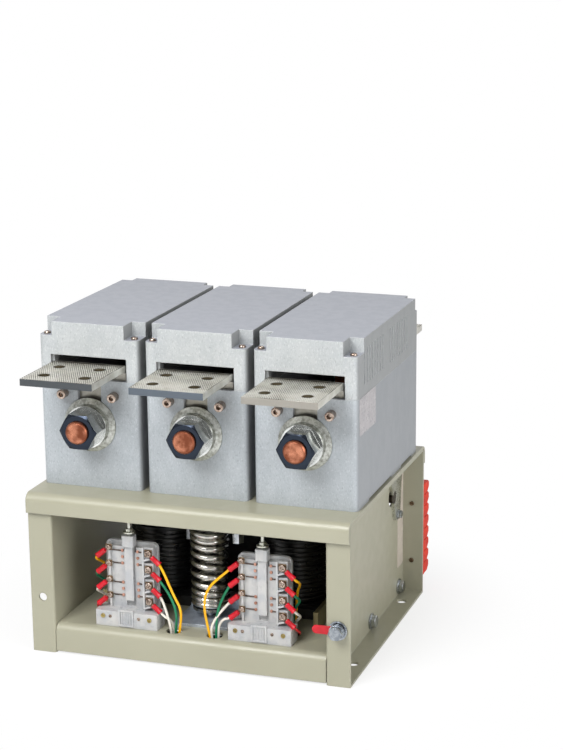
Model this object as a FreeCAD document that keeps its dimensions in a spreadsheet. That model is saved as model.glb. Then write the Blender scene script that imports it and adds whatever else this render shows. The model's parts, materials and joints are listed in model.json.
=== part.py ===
import FreeCAD, Part
import math
import os
import Sketcher
from FreeCAD import Placement, Rotation, Vector

# Three-pole vacuum contactor with a sheet-steel frame.
# Millimetres, +Z up. The origin is the centre of the four mounting holes on the
# underside of the frame. X runs along the three poles, -Y is the front.

doc = FreeCAD.newDocument("vacuum_contactor")
sheet = doc.addObject("Spreadsheet::Sheet", "Sizes")
nodes = {}


class Size:
    """A length that comes from the sheet, kept both as a number and as an expression."""

    def __init__(self, text, read):
        self.text = text
        self.read = read

    @property
    def value(self):
        return self.read()

    def join(self, other, sign, work, swap=False):
        first, second = (other, self) if swap else (self, other)
        text = "(" + text_of(first) + " " + sign + " " + text_of(second) + ")"
        return Size(text, lambda: work(number(first), number(second)))

    def __add__(self, other):
        return self.join(other, "+", lambda a, b: a + b)

    def __radd__(self, other):
        return self.join(other, "+", lambda a, b: a + b, True)

    def __sub__(self, other):
        return self.join(other, "-", lambda a, b: a - b)

    def __rsub__(self, other):
        return self.join(other, "-", lambda a, b: a - b, True)

    def __mul__(self, other):
        return self.join(other, "*", lambda a, b: a * b)

    def __rmul__(self, other):
        return self.join(other, "*", lambda a, b: a * b, True)

    def __truediv__(self, other):
        return self.join(other, "/", lambda a, b: a / b)

    def __neg__(self):
        return self * -1


def number(value):
    """The number behind a size, or the number itself."""
    return value.value if isinstance(value, Size) else float(value)


def text_of(value):
    """The expression of a size, or the number written out."""
    return value.text if isinstance(value, Size) else repr(float(value))


def size(alias, value, note):
    """Puts one driving dimension in the sheet and gives it back as a Size."""
    row = str(size.row)
    size.row += 1
    sheet.set("A" + row, alias)
    sheet.set("B" + row, str(value))
    sheet.set("C" + row, note)
    sheet.setAlias("B" + row, alias)
    return Size("Sizes." + alias, lambda: float(sheet.get(alias)))


size.row = 1

# Frame
frame_width = size("frame_width", 350, "over the outer edges of the side flanges")
frame_depth = size("frame_depth", 280, "front flange face to rear flange face")
frame_height = size("frame_height", 175, "underside of the frame to the top of the top plate")
flange_width = size("flange_width", 26, "folded flange, measured from the web's inner face")
frame_sheet = size("frame_sheet", 2.5, "sheet of the side frames and the base plate")
frame_bend = size("frame_bend", 3, "outer bend radius of the side frames")
top_sheet = size("top_sheet", 3, "sheet of the top plate")
lip_drop = size("lip_drop", 21, "height of the top plate's front and rear lips")
lip_stand = size("lip_stand", 4.5, "how far each lip stands out past the side flanges")
bend_radius = size("bend_radius", 9, "outer bend radius of the top plate and the base sill")
base_rise = size("base_rise", 32, "top of the base plate above the mounting face")
base_lift = size("base_lift", 2, "bottom edge of the base plate's sill above the mounting face")
base_gap = size("base_gap", 0.25, "gap on each side of the base plate")
hole_inset = size("hole_inset", 14, "mounting holes from the frame's side edges")
hole_span_y = size("hole_span_y", 185, "mounting holes, front to rear")
hole_setback = size("hole_setback", 55, "front flange face to the front mounting holes")
mount_hole = size("mount_hole", 11, "diameter of the mounting holes")
flange_hole = size("flange_hole", 9, "diameter of the earthing hole in each front flange")
flange_hole_rise = size("flange_hole_rise", 61, "earthing hole above the mounting face")
wire_hole = size("wire_hole", 17, "diameter of the wire holes in the base plate")
wire_hole_span = size("wire_hole_span", 45, "between the two front wire holes")
wire_hole_setback = size("wire_hole_setback", 19, "front flange face to the wire holes")
outer_hole_offset = size("outer_hole_offset", 98, "wire holes behind the switches, from the middle")
outer_hole_setback = size("outer_hole_setback", 46, "front flange face to those holes")

# Poles
pole_between = size("pole_between", 7, "gap between two pole housings")
pole_side_gap = size("pole_side_gap", 3, "side edge of the frame to the outer pole")
pole_back_gap = size("pole_back_gap", 19, "rear of the poles to the rear flange face")
pole_setback = size("pole_setback", 35, "front flange face to the front of the poles")
body_height = size("body_height", 116, "height of the lower housing")
cover_height = size("cover_height", 59, "height of the cover")
pole_wall = size("pole_wall", 5, "wall of the housing and the cover")
pole_floor = size("pole_floor", 5, "floor of the housing")
pole_round = size("pole_round", 6, "radius of the housing's upright edges")
post_width = size("post_width", 10, "corner post inside the housing")
foot_relief = size("foot_relief", 2, "height of the relief under the housing")
relief_front = size("relief_front", 40, "pole front to the first relief")
relief_long = size("relief_long", 84, "first relief under the housing")
relief_short = size("relief_short", 42, "second relief under the housing")
relief_back = size("relief_back", 24, "second relief to the pole's rear")
notch_width = size("notch_width", 15, "front corner notch of the cover, along X")
notch_length = size("notch_length", 22, "front corner notch of the cover, along Y")
notch_drop = size("notch_drop", 15, "depth of the corner notches below the cover's top")
rear_notch = size("rear_notch", 12, "rear corner notch of the cover")
slot_gap = size("slot_gap", 3, "busbar slot on each side of the busbar")
slot_height = size("slot_height", 24, "height of the busbar slot")
vent_width = size("vent_width", 3, "one vent slot")
vent_height = size("vent_height", 37, "height of a vent slot")
vent_pitch = size("vent_pitch", 9.2, "between vent slots")
vent_rise = size("vent_rise", 11, "bottom of the vent slots above the seam")
vent_front = size("vent_front", 23, "pole front to the first vent slot")
vent_rear = size("vent_rear", 115, "pole front to the first slot of the rear group")
vent_count = 8

# Main circuit
bar_side_gap = size("bar_side_gap", 1, "busbar to the corner posts on each side")
bar_thick = size("bar_thick", 7, "thickness of the busbars")
bar_reach = size("bar_reach", 77, "how far a busbar stands out of its pole")
bar_bend = size("bar_bend", 4, "inner bend radius of the busbars")
bar_hole = size("bar_hole", 11, "diameter of the busbar holes")
bar_hole_x = size("bar_hole_x", 44, "busbar holes, left to right")
bar_hole_y = size("bar_hole_y", 35, "busbar holes, front to rear")
bar_hole_edge = size("bar_hole_edge", 20.5, "busbar end to the first row of holes")
line_bar_rise = size("line_bar_rise", 10, "underside of the front busbars above the seam")
load_bar_rise = size("load_bar_rise", 2.5, "underside and inner bend of the rear busbars above the seam")
line_leg_drop = size("line_leg_drop", 30, "end of the front busbar's leg below the stem axis")
load_leg_height = size("load_leg_height", 36, "height of the rear busbar's leg")
stem_rise = size("stem_rise", 68, "stem axis above the top plate")
stem_radius = size("stem_radius", 12, "fixed copper stem")
stem_reach = size("stem_reach", 36, "how far the fixed stem stands out of the pole")
stem_slot = size("stem_slot", 26, "width of the stem's slot in the housing front")
clamp_span = size("clamp_span", 56, "between a busbar's two clamping screws")
clamp_drop = size("clamp_drop", 16, "clamping screws below the seam")
clamp_radius = size("clamp_radius", 3, "shank of the clamping screws")
clamp_cap = size("clamp_cap", 5, "radius of the clamping screws' heads")
clamp_head = size("clamp_head", 9, "head of a front clamping screw")
clamp_rear_head = size("clamp_rear_head", 6, "head of a rear clamping screw")
clamp_socket = size("clamp_socket", 5, "socket of the clamping screws over its flats")
clamp_socket_depth = size("clamp_socket_depth", 4, "socket of a front clamping screw")
clamp_rear_socket = size("clamp_rear_socket", 3, "socket of a rear clamping screw")
washer_radius = size("washer_radius", 28.5, "large washer on the stem")
washer_thick = size("washer_thick", 4, "large washer on the stem")
washer_rim = size("washer_rim", 1.4, "rim of the dished large washer")
stem_bevel = size("stem_bevel", 1.5, "bevel on the stem's end and the lock washer")
lock_radius = size("lock_radius", 21.5, "lock washer under the stem nut")
lock_thick = size("lock_thick", 5, "lock washer under the stem nut")
nut_flats = size("nut_flats", 36, "stem nut over its flats")
nut_height = size("nut_height", 23, "stem nut with its flange")
nut_flange = size("nut_flange", 22.5, "radius of the stem nut's flange")
bottle_radius = size("bottle_radius", 36, "ceramic of the interrupter")
moving_radius = size("moving_radius", 9, "moving copper stem")
link_width = size("link_width", 30, "flexible copper link")
link_thick = size("link_thick", 4, "flexible copper link")

# Drive
shaft_back_gap = size("shaft_back_gap", 50, "main shaft to the rear flange face")
shaft_drop = size("shaft_drop", 44, "main shaft below the top plate")
shaft_radius = size("shaft_radius", 7, "main shaft")
running_gap = size("running_gap", 0.05, "radial clearance of a running fit")
rest_gap = size("rest_gap", 0.3, "gap between pieces of two bodies that meet")
open_angle = size("open_angle", 1.8, "turn of the shaft from open to closed, degrees")
lever_width = size("lever_width", 10, "drive lever along X")
lever_depth = size("lever_depth", 14, "drive lever along Y")
lever_hub = size("lever_hub", 13, "radius of a lever's hub")
hub_length = size("hub_length", 16, "a lever's hub along the shaft")
lever_head = size("lever_head", 12, "lever above the stem axis")
lever_eye = size("lever_eye", 1.5, "clearance of the pull rod in the lever's eye")
lever_slot_x = size("lever_slot_x", 18, "lever slot in the top plate and the housing floor")
lever_slot_y = size("lever_slot_y", 28, "lever slot in the top plate and the housing floor")
plate_thick = size("plate_thick", 12, "armature plate")
plate_drop = size("plate_drop", 8.5, "underside of the closed armature plate below the shaft axis")
plate_width = size("plate_width", 230, "armature plate")
plate_front = size("plate_front", 76, "front flange face to the armature plate")
plate_back_gap = size("plate_back_gap", 34, "armature plate's rear edge to the main shaft")
plate_cheek = size("plate_cheek", 84, "inner face of an armature cheek, from the middle")
plate_cheek_thick = size("plate_cheek_thick", 12, "armature cheek")
coil_pitch = size("coil_pitch", 150, "between the two coils")
coil_setback = size("coil_setback", 130, "front flange face to the coil axes")
coil_radius = size("coil_radius", 38, "winding")
bobbin_radius = size("bobbin_radius", 40, "bobbin flange")
bobbin_flange = size("bobbin_flange", 3, "bobbin flange thickness")
core_radius = size("core_radius", 20, "magnet core")
shoe_radius = size("shoe_radius", 31, "pole shoe on the core")
shoe_thick = size("shoe_thick", 3, "pole shoe on the core")
yoke_width = size("yoke_width", 232, "magnet yoke between its side cheeks")
yoke_thick = size("yoke_thick", 11, "magnet yoke")
yoke_front = size("yoke_front", 88, "front flange face to the yoke plate")
yoke_depth = size("yoke_depth", 84, "yoke plate")
cheek_thick = size("cheek_thick", 5, "side cheek of the yoke")
cheek_height = size("cheek_height", 20, "side cheek of the yoke")
cheek_ahead = size("cheek_ahead", 28, "side cheek ahead of the yoke plate")
cheek_behind = size("cheek_behind", 16, "side cheek behind the yoke plate")
limb_thick = size("limb_thick", 11, "upright limb behind the coils")
limb_gap = size("limb_gap", 1, "top of the limb below the closed armature plate")
bobbin_wall = size("bobbin_wall", 3, "bobbin's tube")
coil_ribs = 13
coil_groove = size("coil_groove", 0.7, "depth of the grooves between the taped turns")
spring_setback = size("spring_setback", 66, "front flange face to the return spring")
spring_radius = size("spring_radius", 21, "outer radius of the return spring")
spring_wire = size("spring_wire", 6.6, "wire of the return spring")
spring_pitch = size("spring_pitch", 8.3, "rise of the return spring in one turn")
spring_foot = size("spring_foot", 46.5, "bottom of the return spring above the mounting face")
seat_plate = size("seat_plate", 3, "seat under the return spring")
adjuster_tail = size("adjuster_tail", 10, "adjusting stud below the base plate's skin")
adjuster_rise = size("adjuster_rise", 22, "adjusting stud inside the return spring")
adjuster_nut = size("adjuster_nut", 8, "nut under the base plate")
adjuster_flats = size("adjuster_flats", 16, "nut under the base plate over its flats")
bracket_ahead = size("bracket_ahead", 32, "spring bracket ahead of the spring axis")
bracket_behind = size("bracket_behind", 22, "spring bracket over the yoke plate")
bracket_half = size("bracket_half", 30, "half the width of the spring bracket")
bracket_thick = size("bracket_thick", 3, "spring bracket")

# Auxiliary switches
switch_pitch = size("switch_pitch", 147, "between the two auxiliary switches")
switch_setback = size("switch_setback", 12, "front flange face to the switch base")
switch_width = size("switch_width", 69, "switch base")
switch_depth = size("switch_depth", 22, "switch base")
switch_foot = size("switch_foot", 17, "height of the switch base")
switch_clear = size("switch_clear", 51, "top of the switch below the top plate")
terminal_rise = size("terminal_rise", 11.4, "lowest right-hand terminal above the switch base")
terminal_margin = size("terminal_margin", 7.8, "highest right-hand terminal below the switch top")
terminal_step = size("terminal_step", 2.4, "left-hand terminals above the right-hand ones")
plunger_width = size("plunger_width", 9, "plunger bar")
plunger_depth = size("plunger_depth", 6, "plunger bar")
plunger_clear = size("plunger_clear", 42, "plunger cap below the top plate")
plunger_cap = size("plunger_cap", 12, "height of the plunger cap")
cap_width = size("cap_width", 13, "plunger cap")
cap_depth = size("cap_depth", 10, "plunger cap")
cap_ahead = size("cap_ahead", 6, "plunger cap ahead of the plunger's axis")
plunger_setback = size("plunger_setback", 26, "front flange face to the plunger axis")
wire_radius = size("wire_radius", 1.3, "control wire")
block_pitch = size("block_pitch", 13.6, "between the terminals of the rear block")
block_rise = size("block_rise", 18, "bottom of the rear terminal block")
block_depth = size("block_depth", 31, "depth of the rear terminal block")
block_width = size("block_width", 22, "width of the rear terminal block")
block_poles = 8

doc.recompute()

# Places worked out from the driving dimensions
front = -(hole_setback + hole_span_y / 2)
rear = front + frame_depth
half = frame_width / 2
web = half - flange_width
deck = frame_height - top_sheet
pole_depth = frame_depth - pole_setback - pole_back_gap
pole_width = (frame_width - pole_side_gap * 2 - pole_between * 2) / 3
pole_pitch = pole_width + pole_between
pole_front = front + pole_setback
pole_rear = pole_front + pole_depth
seam = frame_height + body_height
stem_z = frame_height + stem_rise
hole_span_x = frame_width - hole_inset * 2
bar_width = pole_width - (pole_wall + post_width + bar_side_gap) * 2
slot_width = bar_width + slot_gap * 2
shaft_setback = frame_depth - shaft_back_gap
shaft_rise = deck - shaft_drop
shaft_y = front + shaft_setback
switch_top = deck - switch_clear
plunger_top = deck - plunger_clear


def bind(thing, path, value):
    """Ties one property to the sheet, or sets it where it is a plain number."""
    if isinstance(value, Size):
        thing.setExpression(path, value.text)
    else:
        setattr(thing, path, value)


RADIAN = 57.29578
AXES = {
    "x": Rotation(Vector(0, 1, 0), 90),
    "y": Rotation(Vector(1, 0, 0), -90),
    "z": Rotation(),
}


def place(thing, x, y, z, axis="z"):
    """Puts a piece's own origin at a point, with its own Z along the given axis."""
    spot = Vector(number(x), number(y), number(z))
    thing.Placement = Placement(spot, AXES[axis])
    for name, value in zip("xyz", (x, y, z)):
        if isinstance(value, Size):
            thing.setExpression("Placement.Base." + name, value.text)
    return thing


def block(x, y, z, dx, dy, dz):
    """A box from its lowest corner."""
    box = doc.addObject("Part::Box", "block")
    bind(box, "Length", dx)
    bind(box, "Width", dy)
    bind(box, "Height", dz)
    return place(box, x, y, z)


def middle_block(x, y, z, dx, dy, dz):
    """A box that is centred on x."""
    return block(x - dx / 2, y, z, dx, dy, dz)


def rod(axis, x, y, z, radius, length):
    """A cylinder that starts at a point and runs along an axis."""
    cylinder = doc.addObject("Part::Cylinder", "rod")
    bind(cylinder, "Radius", radius)
    bind(cylinder, "Height", length)
    return place(cylinder, x, y, z, axis)


def hexagon(axis, x, y, z, flats, length):
    """A hexagonal prism, sized over its flats."""
    prism = doc.addObject("Part::Prism", "hexagon")
    prism.Polygon = 6
    bind(prism, "Circumradius", flats / 3 ** 0.5)
    bind(prism, "Height", length)
    return place(prism, x, y, z, axis)


def fuse(*pieces):
    """One solid from several that touch or overlap."""
    joined = doc.addObject("Part::MultiFuse", "joined")
    joined.Shapes = list(pieces)
    joined.Refine = True
    return joined


def cut(base, *tools):
    """A base with the tools taken out of it."""
    result = doc.addObject("Part::Cut", "cut")
    result.Base = base
    result.Tool = tools[0] if len(tools) == 1 else fuse(*tools)
    result.Refine = True
    return result


def meet(*pieces):
    """What several pieces have in common."""
    both = doc.addObject("Part::MultiCommon", "common")
    both.Shapes = list(pieces)
    return both


def group(*pieces):
    """Several separate solids of one kind, kept together."""
    several = doc.addObject("Part::Compound", "group")
    several.Links = list(pieces)
    return several


def ring(axis, x, y, z, outer, inner, length):
    """A tube or washer."""
    return cut(rod(axis, x, y, z, outer, length), rod(axis, x, y, z, inner, length))


def node(label, piece):
    """Names a finished sub-part."""
    piece.Label = label
    nodes[label] = piece
    return piece


def origin_plane(body, role):
    """One of a body's own origin planes."""
    for feature in body.Origin.OriginFeatures:
        if feature.Role == role:
            return feature
    return None


def bevelled(axis, x, y, z, flats, length, far=False):
    """A hexagonal head or nut with the corners bevelled at its near or far end."""
    corner = flats * 0.6
    narrow = flats * 0.48
    fall = flats * 0.07
    if far:
        sides = [(corner, 0), (corner, length - fall), (narrow, length)]
    else:
        sides = [(narrow, 0), (corner, fall), (corner, length)]
    bevel = turned("bevel", [(0, 0)] + sides + [(0, length)])
    return meet(hexagon(axis, x, y, z, flats, length), place(bevel, x, y, z, axis))


def outline(body, role, points, offset=0):
    """A closed sketch on an origin plane, with each corner tied to the sheet."""
    sketch = body.newObject("Sketcher::SketchObject", "outline")
    sketch.AttachmentSupport = [(origin_plane(body, role), "")]
    sketch.MapMode = "FlatFace"
    sketch.AttachmentOffset = Placement(Vector(0, 0, number(offset)), Rotation())
    if isinstance(offset, Size):
        sketch.setExpression("AttachmentOffset.Base.z", offset.text)
    spots = [Vector(number(x), number(y), 0) for x, y in points]
    count = len(spots)
    for index in range(count):
        sketch.addGeometry(Part.LineSegment(spots[index], spots[(index + 1) % count]), False)
    for index in range(count):
        after = (index + 1) % count
        sketch.addConstraint(Sketcher.Constraint("Coincident", index, 2, after, 1))
    for index, corner in enumerate(points):
        for kind, value in zip(("DistanceX", "DistanceY"), corner):
            rule = Sketcher.Constraint(kind, -1, 1, index, 1, number(value))
            place_in_list = sketch.addConstraint(rule)
            if isinstance(value, Size):
                sketch.setExpression("Constraints[%d]" % place_in_list, value.text)
    return sketch


def padded(name, role, points, offset, length):
    """A body made by pushing an outline out along its plane's normal."""
    body = doc.addObject("PartDesign::Body", name)
    pad = body.newObject("PartDesign::Pad", "pad")
    pad.Profile = outline(body, role, points, offset)
    bind(pad, "Length", length)
    body.Tip = pad
    return body


def turned(name, points):
    """A body of revolution about its own Z, from (radius, height) corners."""
    body = doc.addObject("PartDesign::Body", name)
    sketch = outline(body, "XZ_Plane", points)
    spin = body.newObject("PartDesign::Revolution", "turn")
    spin.Profile = sketch
    spin.ReferenceAxis = (sketch, ["V_Axis"])
    spin.Angle = 360
    body.Tip = spin
    return body


def on_base(name, base):
    """A body that carries on from a finished solid."""
    solid = doc.addObject("Part::Refine", "solid")
    solid.Source = base
    body = doc.addObject("PartDesign::Body", name)
    body.BaseFeature = solid
    return body


def runs_along(edge, axis):
    """Whether an edge is straight and lies along an axis."""
    if len(edge.Vertexes) != 2 or edge.Curve.TypeId != "Part::GeomLine":
        return False
    step = edge.Vertexes[1].Point - edge.Vertexes[0].Point
    return abs(getattr(step, axis)) > 0.999 * step.Length


def close(value, target):
    """Whether two places are the same."""
    return abs(value - number(target)) < 0.01


def round_edges(body, radius, wanted):
    """Rounds the edges of a body's last feature that pass the test."""
    doc.recompute()
    tip = body.Tip
    picked = []
    for index, edge in enumerate(tip.Shape.Edges):
        if wanted(edge):
            picked.append("Edge%d" % (index + 1))
    fillet = body.newObject("PartDesign::Fillet", "round")
    fillet.Base = (tip, picked)
    bind(fillet, "Radius", radius)
    body.Tip = fillet
    return body


def span(side, near, far):
    """Start and width of a stretch along X, mirrored for the left side."""
    start = near if side > 0 else -far
    return start, far - near


def side_frame(label, side):
    """Folded side of the frame: a web with four flanges that point outwards."""
    web_x, web_w = span(side, web, web + frame_sheet)
    wide_x, wide_w = span(side, web, half)
    folds = [
        block(web_x, front, 0, web_w, frame_depth, deck),
        block(wide_x, front, 0, wide_w, frame_sheet, deck),
        block(wide_x, rear - frame_sheet, 0, wide_w, frame_sheet, deck),
        block(wide_x, front, 0, wide_w, frame_depth, frame_sheet),
        block(wide_x, front, deck - frame_sheet, wide_w, frame_depth, frame_sheet),
    ]
    holes = []
    for row in (-1, 1):
        x = hole_span_x * side / 2
        holes.append(rod("z", x, hole_span_y * row / 2, 0, mount_hole / 2, frame_sheet))
    x = earth_x * side
    holes.append(rod("y", x, front, flange_hole_rise, flange_hole / 2, frame_sheet))
    for y in frame_bolt_places:
        holes.append(rod("x", web_x, y, frame_bolt_z, frame_bolt_radius, web_w))
    holes.append(rod("x", web_x, shaft_y, shaft_rise, bearing_hole, web_w))
    holes.append(rod("x", web_x, bearing_tip_y, bearing_screw_z, bearing_screw_radius, web_w))
    for y in pole_screw_rows:
        x = (pole_pitch + pole_screw_x) * side
        holes.append(rod("z", x, y, deck - frame_sheet, pole_screw_radius, frame_sheet))
    if side > 0:
        for z in block_screw_places:
            holes.append(rod("y", block_x, rear - frame_sheet, z, block_screw_radius, frame_sheet))
    body = on_base("side_frame", cut(fuse(*folds), *holes))
    bend = number(web) * side
    ends = (number(front), number(rear))
    round_edges(
        body,
        frame_bend,
        lambda edge: runs_along(edge, "z")
        and edge.Length > number(deck) / 2
        and close(edge.CenterOfMass.x, bend)
        and min(abs(edge.CenterOfMass.y - end) for end in ends) < 0.01,
    )
    corners = []
    for y, inwards in ((front, 1), (rear, -1)):
        start = y if inwards > 0 else y - lip_bend
        corner = block(wide_x, start, deck - lip_bend, wide_w, lip_bend, lip_bend)
        centre = y + lip_bend * inwards
        corners.append(cut(corner, rod("x", wide_x, centre, deck - lip_bend, lip_bend, wide_w)))
    return node(label, cut(body, *corners))


# Places of the small fasteners
lip_bend = bend_radius - top_sheet
earth_x = (web + half) / 2
frame_bolt_radius = size("frame_bolt_radius", 4, "bolts that join the base plate to the side frames")
frame_bolt_rise = size("frame_bolt_rise", 12, "those bolts above the mounting face")
frame_bolt_middle = size("frame_bolt_middle", 150, "front flange face to the middle bolts")
frame_bolt_inset = size("frame_bolt_inset", 20, "rear bolts to the rear flange face")
bearing_hole = size("bearing_hole", 11, "radius of the shaft's hole in the webs")
bearing_thick = size("bearing_thick", 4, "bearing plate")
bearing_half = size("bearing_half", 26, "half the width of a bearing plate at its top")
bearing_foot = size("bearing_foot", 7, "half the width of a bearing plate at its tip")
bearing_shift = size("bearing_shift", 6, "middle of a bearing plate's top behind the shaft")
bearing_round = size("bearing_round", 5, "corner radius of a bearing plate")
bearing_clear = size("bearing_clear", 0.5, "bearing plate below the side frame's top flange")
bearing_length = size("bearing_length", 71, "height of a bearing plate")
bearing_lean = size("bearing_lean", 14, "how far the tip lies behind the shaft")
bearing_screw_radius = size("bearing_screw_radius", 2.5, "screw of a bearing plate")
bearing_screw_rise = size("bearing_screw_rise", 6, "that screw above the plate's tip")
side_bolt_length = size("side_bolt_length", 12, "bolts of the base plate")
bearing_bolt_length = size("bearing_bolt_length", 10, "bolt of a bearing plate")
pole_screw_inset = size("pole_screw_inset", 10, "pole fixing screws from the housing's faces")
pole_screw_radius = size("pole_screw_radius", 3, "pole fixing screws")
pole_screw_flats = size("pole_screw_flats", 10, "pole fixing screws over their flats")
pole_screw_head = size("pole_screw_head", 4, "head of the pole fixing screws")
pole_screw_depth = size("pole_screw_depth", 15, "pole fixing screws above the top plate")
block_screw_radius = size("block_screw_radius", 2, "screws of the rear terminal block")
block_inset = size("block_inset", 2, "rear terminal block from the frame's side edge")
doc.recompute()
frame_bolt_z = frame_bolt_rise
frame_bolt_places = [front + frame_bolt_middle, rear - frame_bolt_inset]
bearing_tip_y = shaft_y + bearing_lean
bearing_top = deck - frame_sheet - bearing_clear
bearing_drop = bearing_top - bearing_length
bearing_screw_z = bearing_drop + bearing_screw_rise
pole_screw_x = pole_width / 2 - pole_screw_inset
pole_screw_rows = [pole_front + pole_screw_inset, pole_rear - pole_screw_inset]
block_x = half - block_width / 2 - block_inset
block_height = block_pitch * block_poles
block_screw_places = [block_rise + block_pitch * 1.5, block_rise + block_pitch * 6.5]

side_frame("side_frame_left", -1)
side_frame("side_frame_right", 1)


def is_bend(edge, places):
    """Whether an edge along X passes through one of some (y, z) places."""
    if not runs_along(edge, "x"):
        return False
    middle = edge.CenterOfMass
    return any(close(middle.y, y) and close(middle.z, z) for y, z in places)


def top_plate():
    """Deck that carries the poles, with a rounded lip folded down front and rear."""
    low = frame_height - lip_drop
    ahead = front - lip_stand
    behind = rear + lip_stand
    profile = [
        (ahead, low),
        (ahead, frame_height),
        (behind, frame_height),
        (behind, low),
        (behind - top_sheet, low),
        (behind - top_sheet, deck),
        (ahead + top_sheet, deck),
        (ahead + top_sheet, low),
    ]
    body = padded("top_plate", "YZ_Plane", profile, -half, frame_width)
    outer = [(ahead, frame_height), (behind, frame_height)]
    inner = [(ahead + top_sheet, deck), (behind - top_sheet, deck)]
    round_edges(body, bend_radius, lambda edge: is_bend(edge, outer))
    round_edges(body, bend_radius - top_sheet, lambda edge: is_bend(edge, inner))
    holes = []
    for index in (-1, 0, 1):
        centre = pole_pitch * index
        holes.append(
            middle_block(
                centre, shaft_y - lever_slot_y / 2, deck, lever_slot_x, lever_slot_y, top_sheet
            )
        )
        for x in (centre - pole_screw_x, centre + pole_screw_x):
            for y in pole_screw_rows:
                holes.append(rod("z", x, y, deck, pole_screw_radius, top_sheet))
    return node("top_plate", cut(body, *holes))


def base_plate():
    """Tray between the side frames, with a rounded sill front and rear and open below."""
    wide = web * 2 - base_gap * 2
    ahead = front + 1
    deep = frame_depth - 2
    tall = base_rise - base_lift
    skin = frame_sheet
    outside = on_base("sill", middle_block(0, ahead, base_lift, wide, deep, tall))
    tops = [(ahead, base_rise), (ahead + deep, base_rise)]
    round_edges(outside, bend_radius, lambda edge: is_bend(edge, tops))
    inside = on_base(
        "hollow",
        middle_block(
            0, ahead + skin, base_lift, wide - skin * 2, deep - skin * 2, tall - skin
        ),
    )
    under = [(ahead + skin, base_rise - skin), (ahead + deep - skin, base_rise - skin)]
    round_edges(inside, bend_radius - skin, lambda edge: is_bend(edge, under))
    holes = []
    for side in (-1, 1):
        x = wire_hole_span * side / 2
        y = front + wire_hole_setback
        holes.append(rod("z", x, y, base_rise - skin, wire_hole / 2, skin))
        x = outer_hole_offset * side
        y = front + outer_hole_setback
        holes.append(rod("z", x, y, base_rise - skin, wire_hole / 2, skin))
        wall = span(side, web - base_gap - skin, web - base_gap)
        for y in frame_bolt_places:
            holes.append(rod("x", wall[0], y, frame_bolt_z, frame_bolt_radius, wall[1]))
    y = front + spring_setback
    holes.append(rod("z", 0, y, base_rise - skin, adjuster_radius, skin))
    holes.append(rod("y", harness_x, ahead + deep - skin, harness_z, wire_hole / 2, skin))
    return node("base_plate", cut(outside, inside, *holes))


def frame_bolts():
    """Hexagon bolts through the webs: four into the base plate and one in each bearing plate."""
    pieces = []
    seat = web + frame_sheet
    for side in (-1, 1):
        for y in frame_bolt_places:
            pieces.append(
                side_bolt(side, seat, y, frame_bolt_z, frame_bolt_radius, side_bolt_length)
            )
        pieces.append(
            side_bolt(
                side,
                seat + bearing_thick,
                bearing_tip_y,
                bearing_screw_z,
                bearing_screw_radius,
                bearing_bolt_length,
            )
        )
    return node("frame_bolts", group(*pieces))


def side_bolt(side, seat, y, z, radius, length):
    """One bolt along X with a washer and a hexagon head, its head outwards."""
    washer = radius * 0.4
    head = radius * 1.3
    shank_x, shank_w = span(side, seat - length, seat)
    washer_x, washer_w = span(side, seat, seat + washer)
    head_x, head_w = span(side, seat + washer, seat + washer + head)
    return fuse(
        rod("x", shank_x, y, z, radius, shank_w),
        rod("x", washer_x, y, z, radius * 2.2, washer_w),
        bevelled("x", head_x, y, z, radius * 3.2, head_w, side > 0),
    )


adjuster_radius = size("adjuster_radius", 5, "stud that adjusts the return spring")
harness_rise = size("harness_rise", 14, "centre of the wire outlet in the rear sill")
earth_radius = size("earth_radius", 4, "earthing bolt")
earth_flats = size("earth_flats", 13, "earthing bolt over its flats")
earth_head = size("earth_head", 6, "head of the earthing bolt")
earth_nut = size("earth_nut", 6.5, "nut of the earthing bolt")
earth_washer = size("earth_washer", 2, "plain washer of the earthing bolt")
earth_lock = size("earth_lock", 3, "lock washer of the earthing bolt")
earth_tag = size("earth_tag", 1, "earthing tag")
earth_tail = size("earth_tail", 8, "thread of the earthing bolt behind the flange")
tag_length = size("tag_length", 22, "earthing tag, bolt to the middle of its round end")
tag_width = size("tag_width", 9, "earthing tag")
harness_offset = size("harness_offset", 118, "wire outlet in the rear sill, from the middle")
doc.recompute()
harness_z = harness_rise
harness_x = harness_offset

top_plate()
base_plate()
frame_bolts()


def earth_bolt():
    """Earthing bolt on the right front flange, with a plain and a lock washer."""
    plain = front - earth_washer
    lock = plain - earth_tag - earth_lock
    head = lock - earth_head
    tail = front + frame_sheet
    shank = earth_head / 2 + earth_lock + earth_tag + earth_washer + frame_sheet + earth_tail
    pieces = [
        rod("y", earth_x, head + earth_head / 2, flange_hole_rise, earth_radius, shank),
        rod("y", earth_x, plain, flange_hole_rise, earth_radius * 2.5, earth_washer),
        rod("y", earth_x, lock, flange_hole_rise, earth_radius * 2, earth_lock),
        bevelled("y", earth_x, head, flange_hole_rise, earth_flats, earth_head),
        hexagon("y", earth_x, tail, flange_hole_rise, earth_flats, earth_nut),
    ]
    return node("earth_bolt", fuse(*pieces))


def earth_lug():
    """Flat tag held under the earthing bolt, pointing inwards."""
    y = front - earth_washer - earth_tag
    z = flange_hole_rise
    end = earth_x - tag_length
    tag = fuse(
        rod("y", earth_x, y, z, earth_radius * 1.6, earth_tag),
        block(end, y, z - tag_width / 2, tag_length, earth_tag, tag_width),
        rod("y", end, y, z, tag_width / 2, earth_tag),
    )
    return node("earth_lug", cut(tag, rod("y", earth_x, y, z, earth_radius, earth_tag)))


earth_bolt()
earth_lug()


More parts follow.
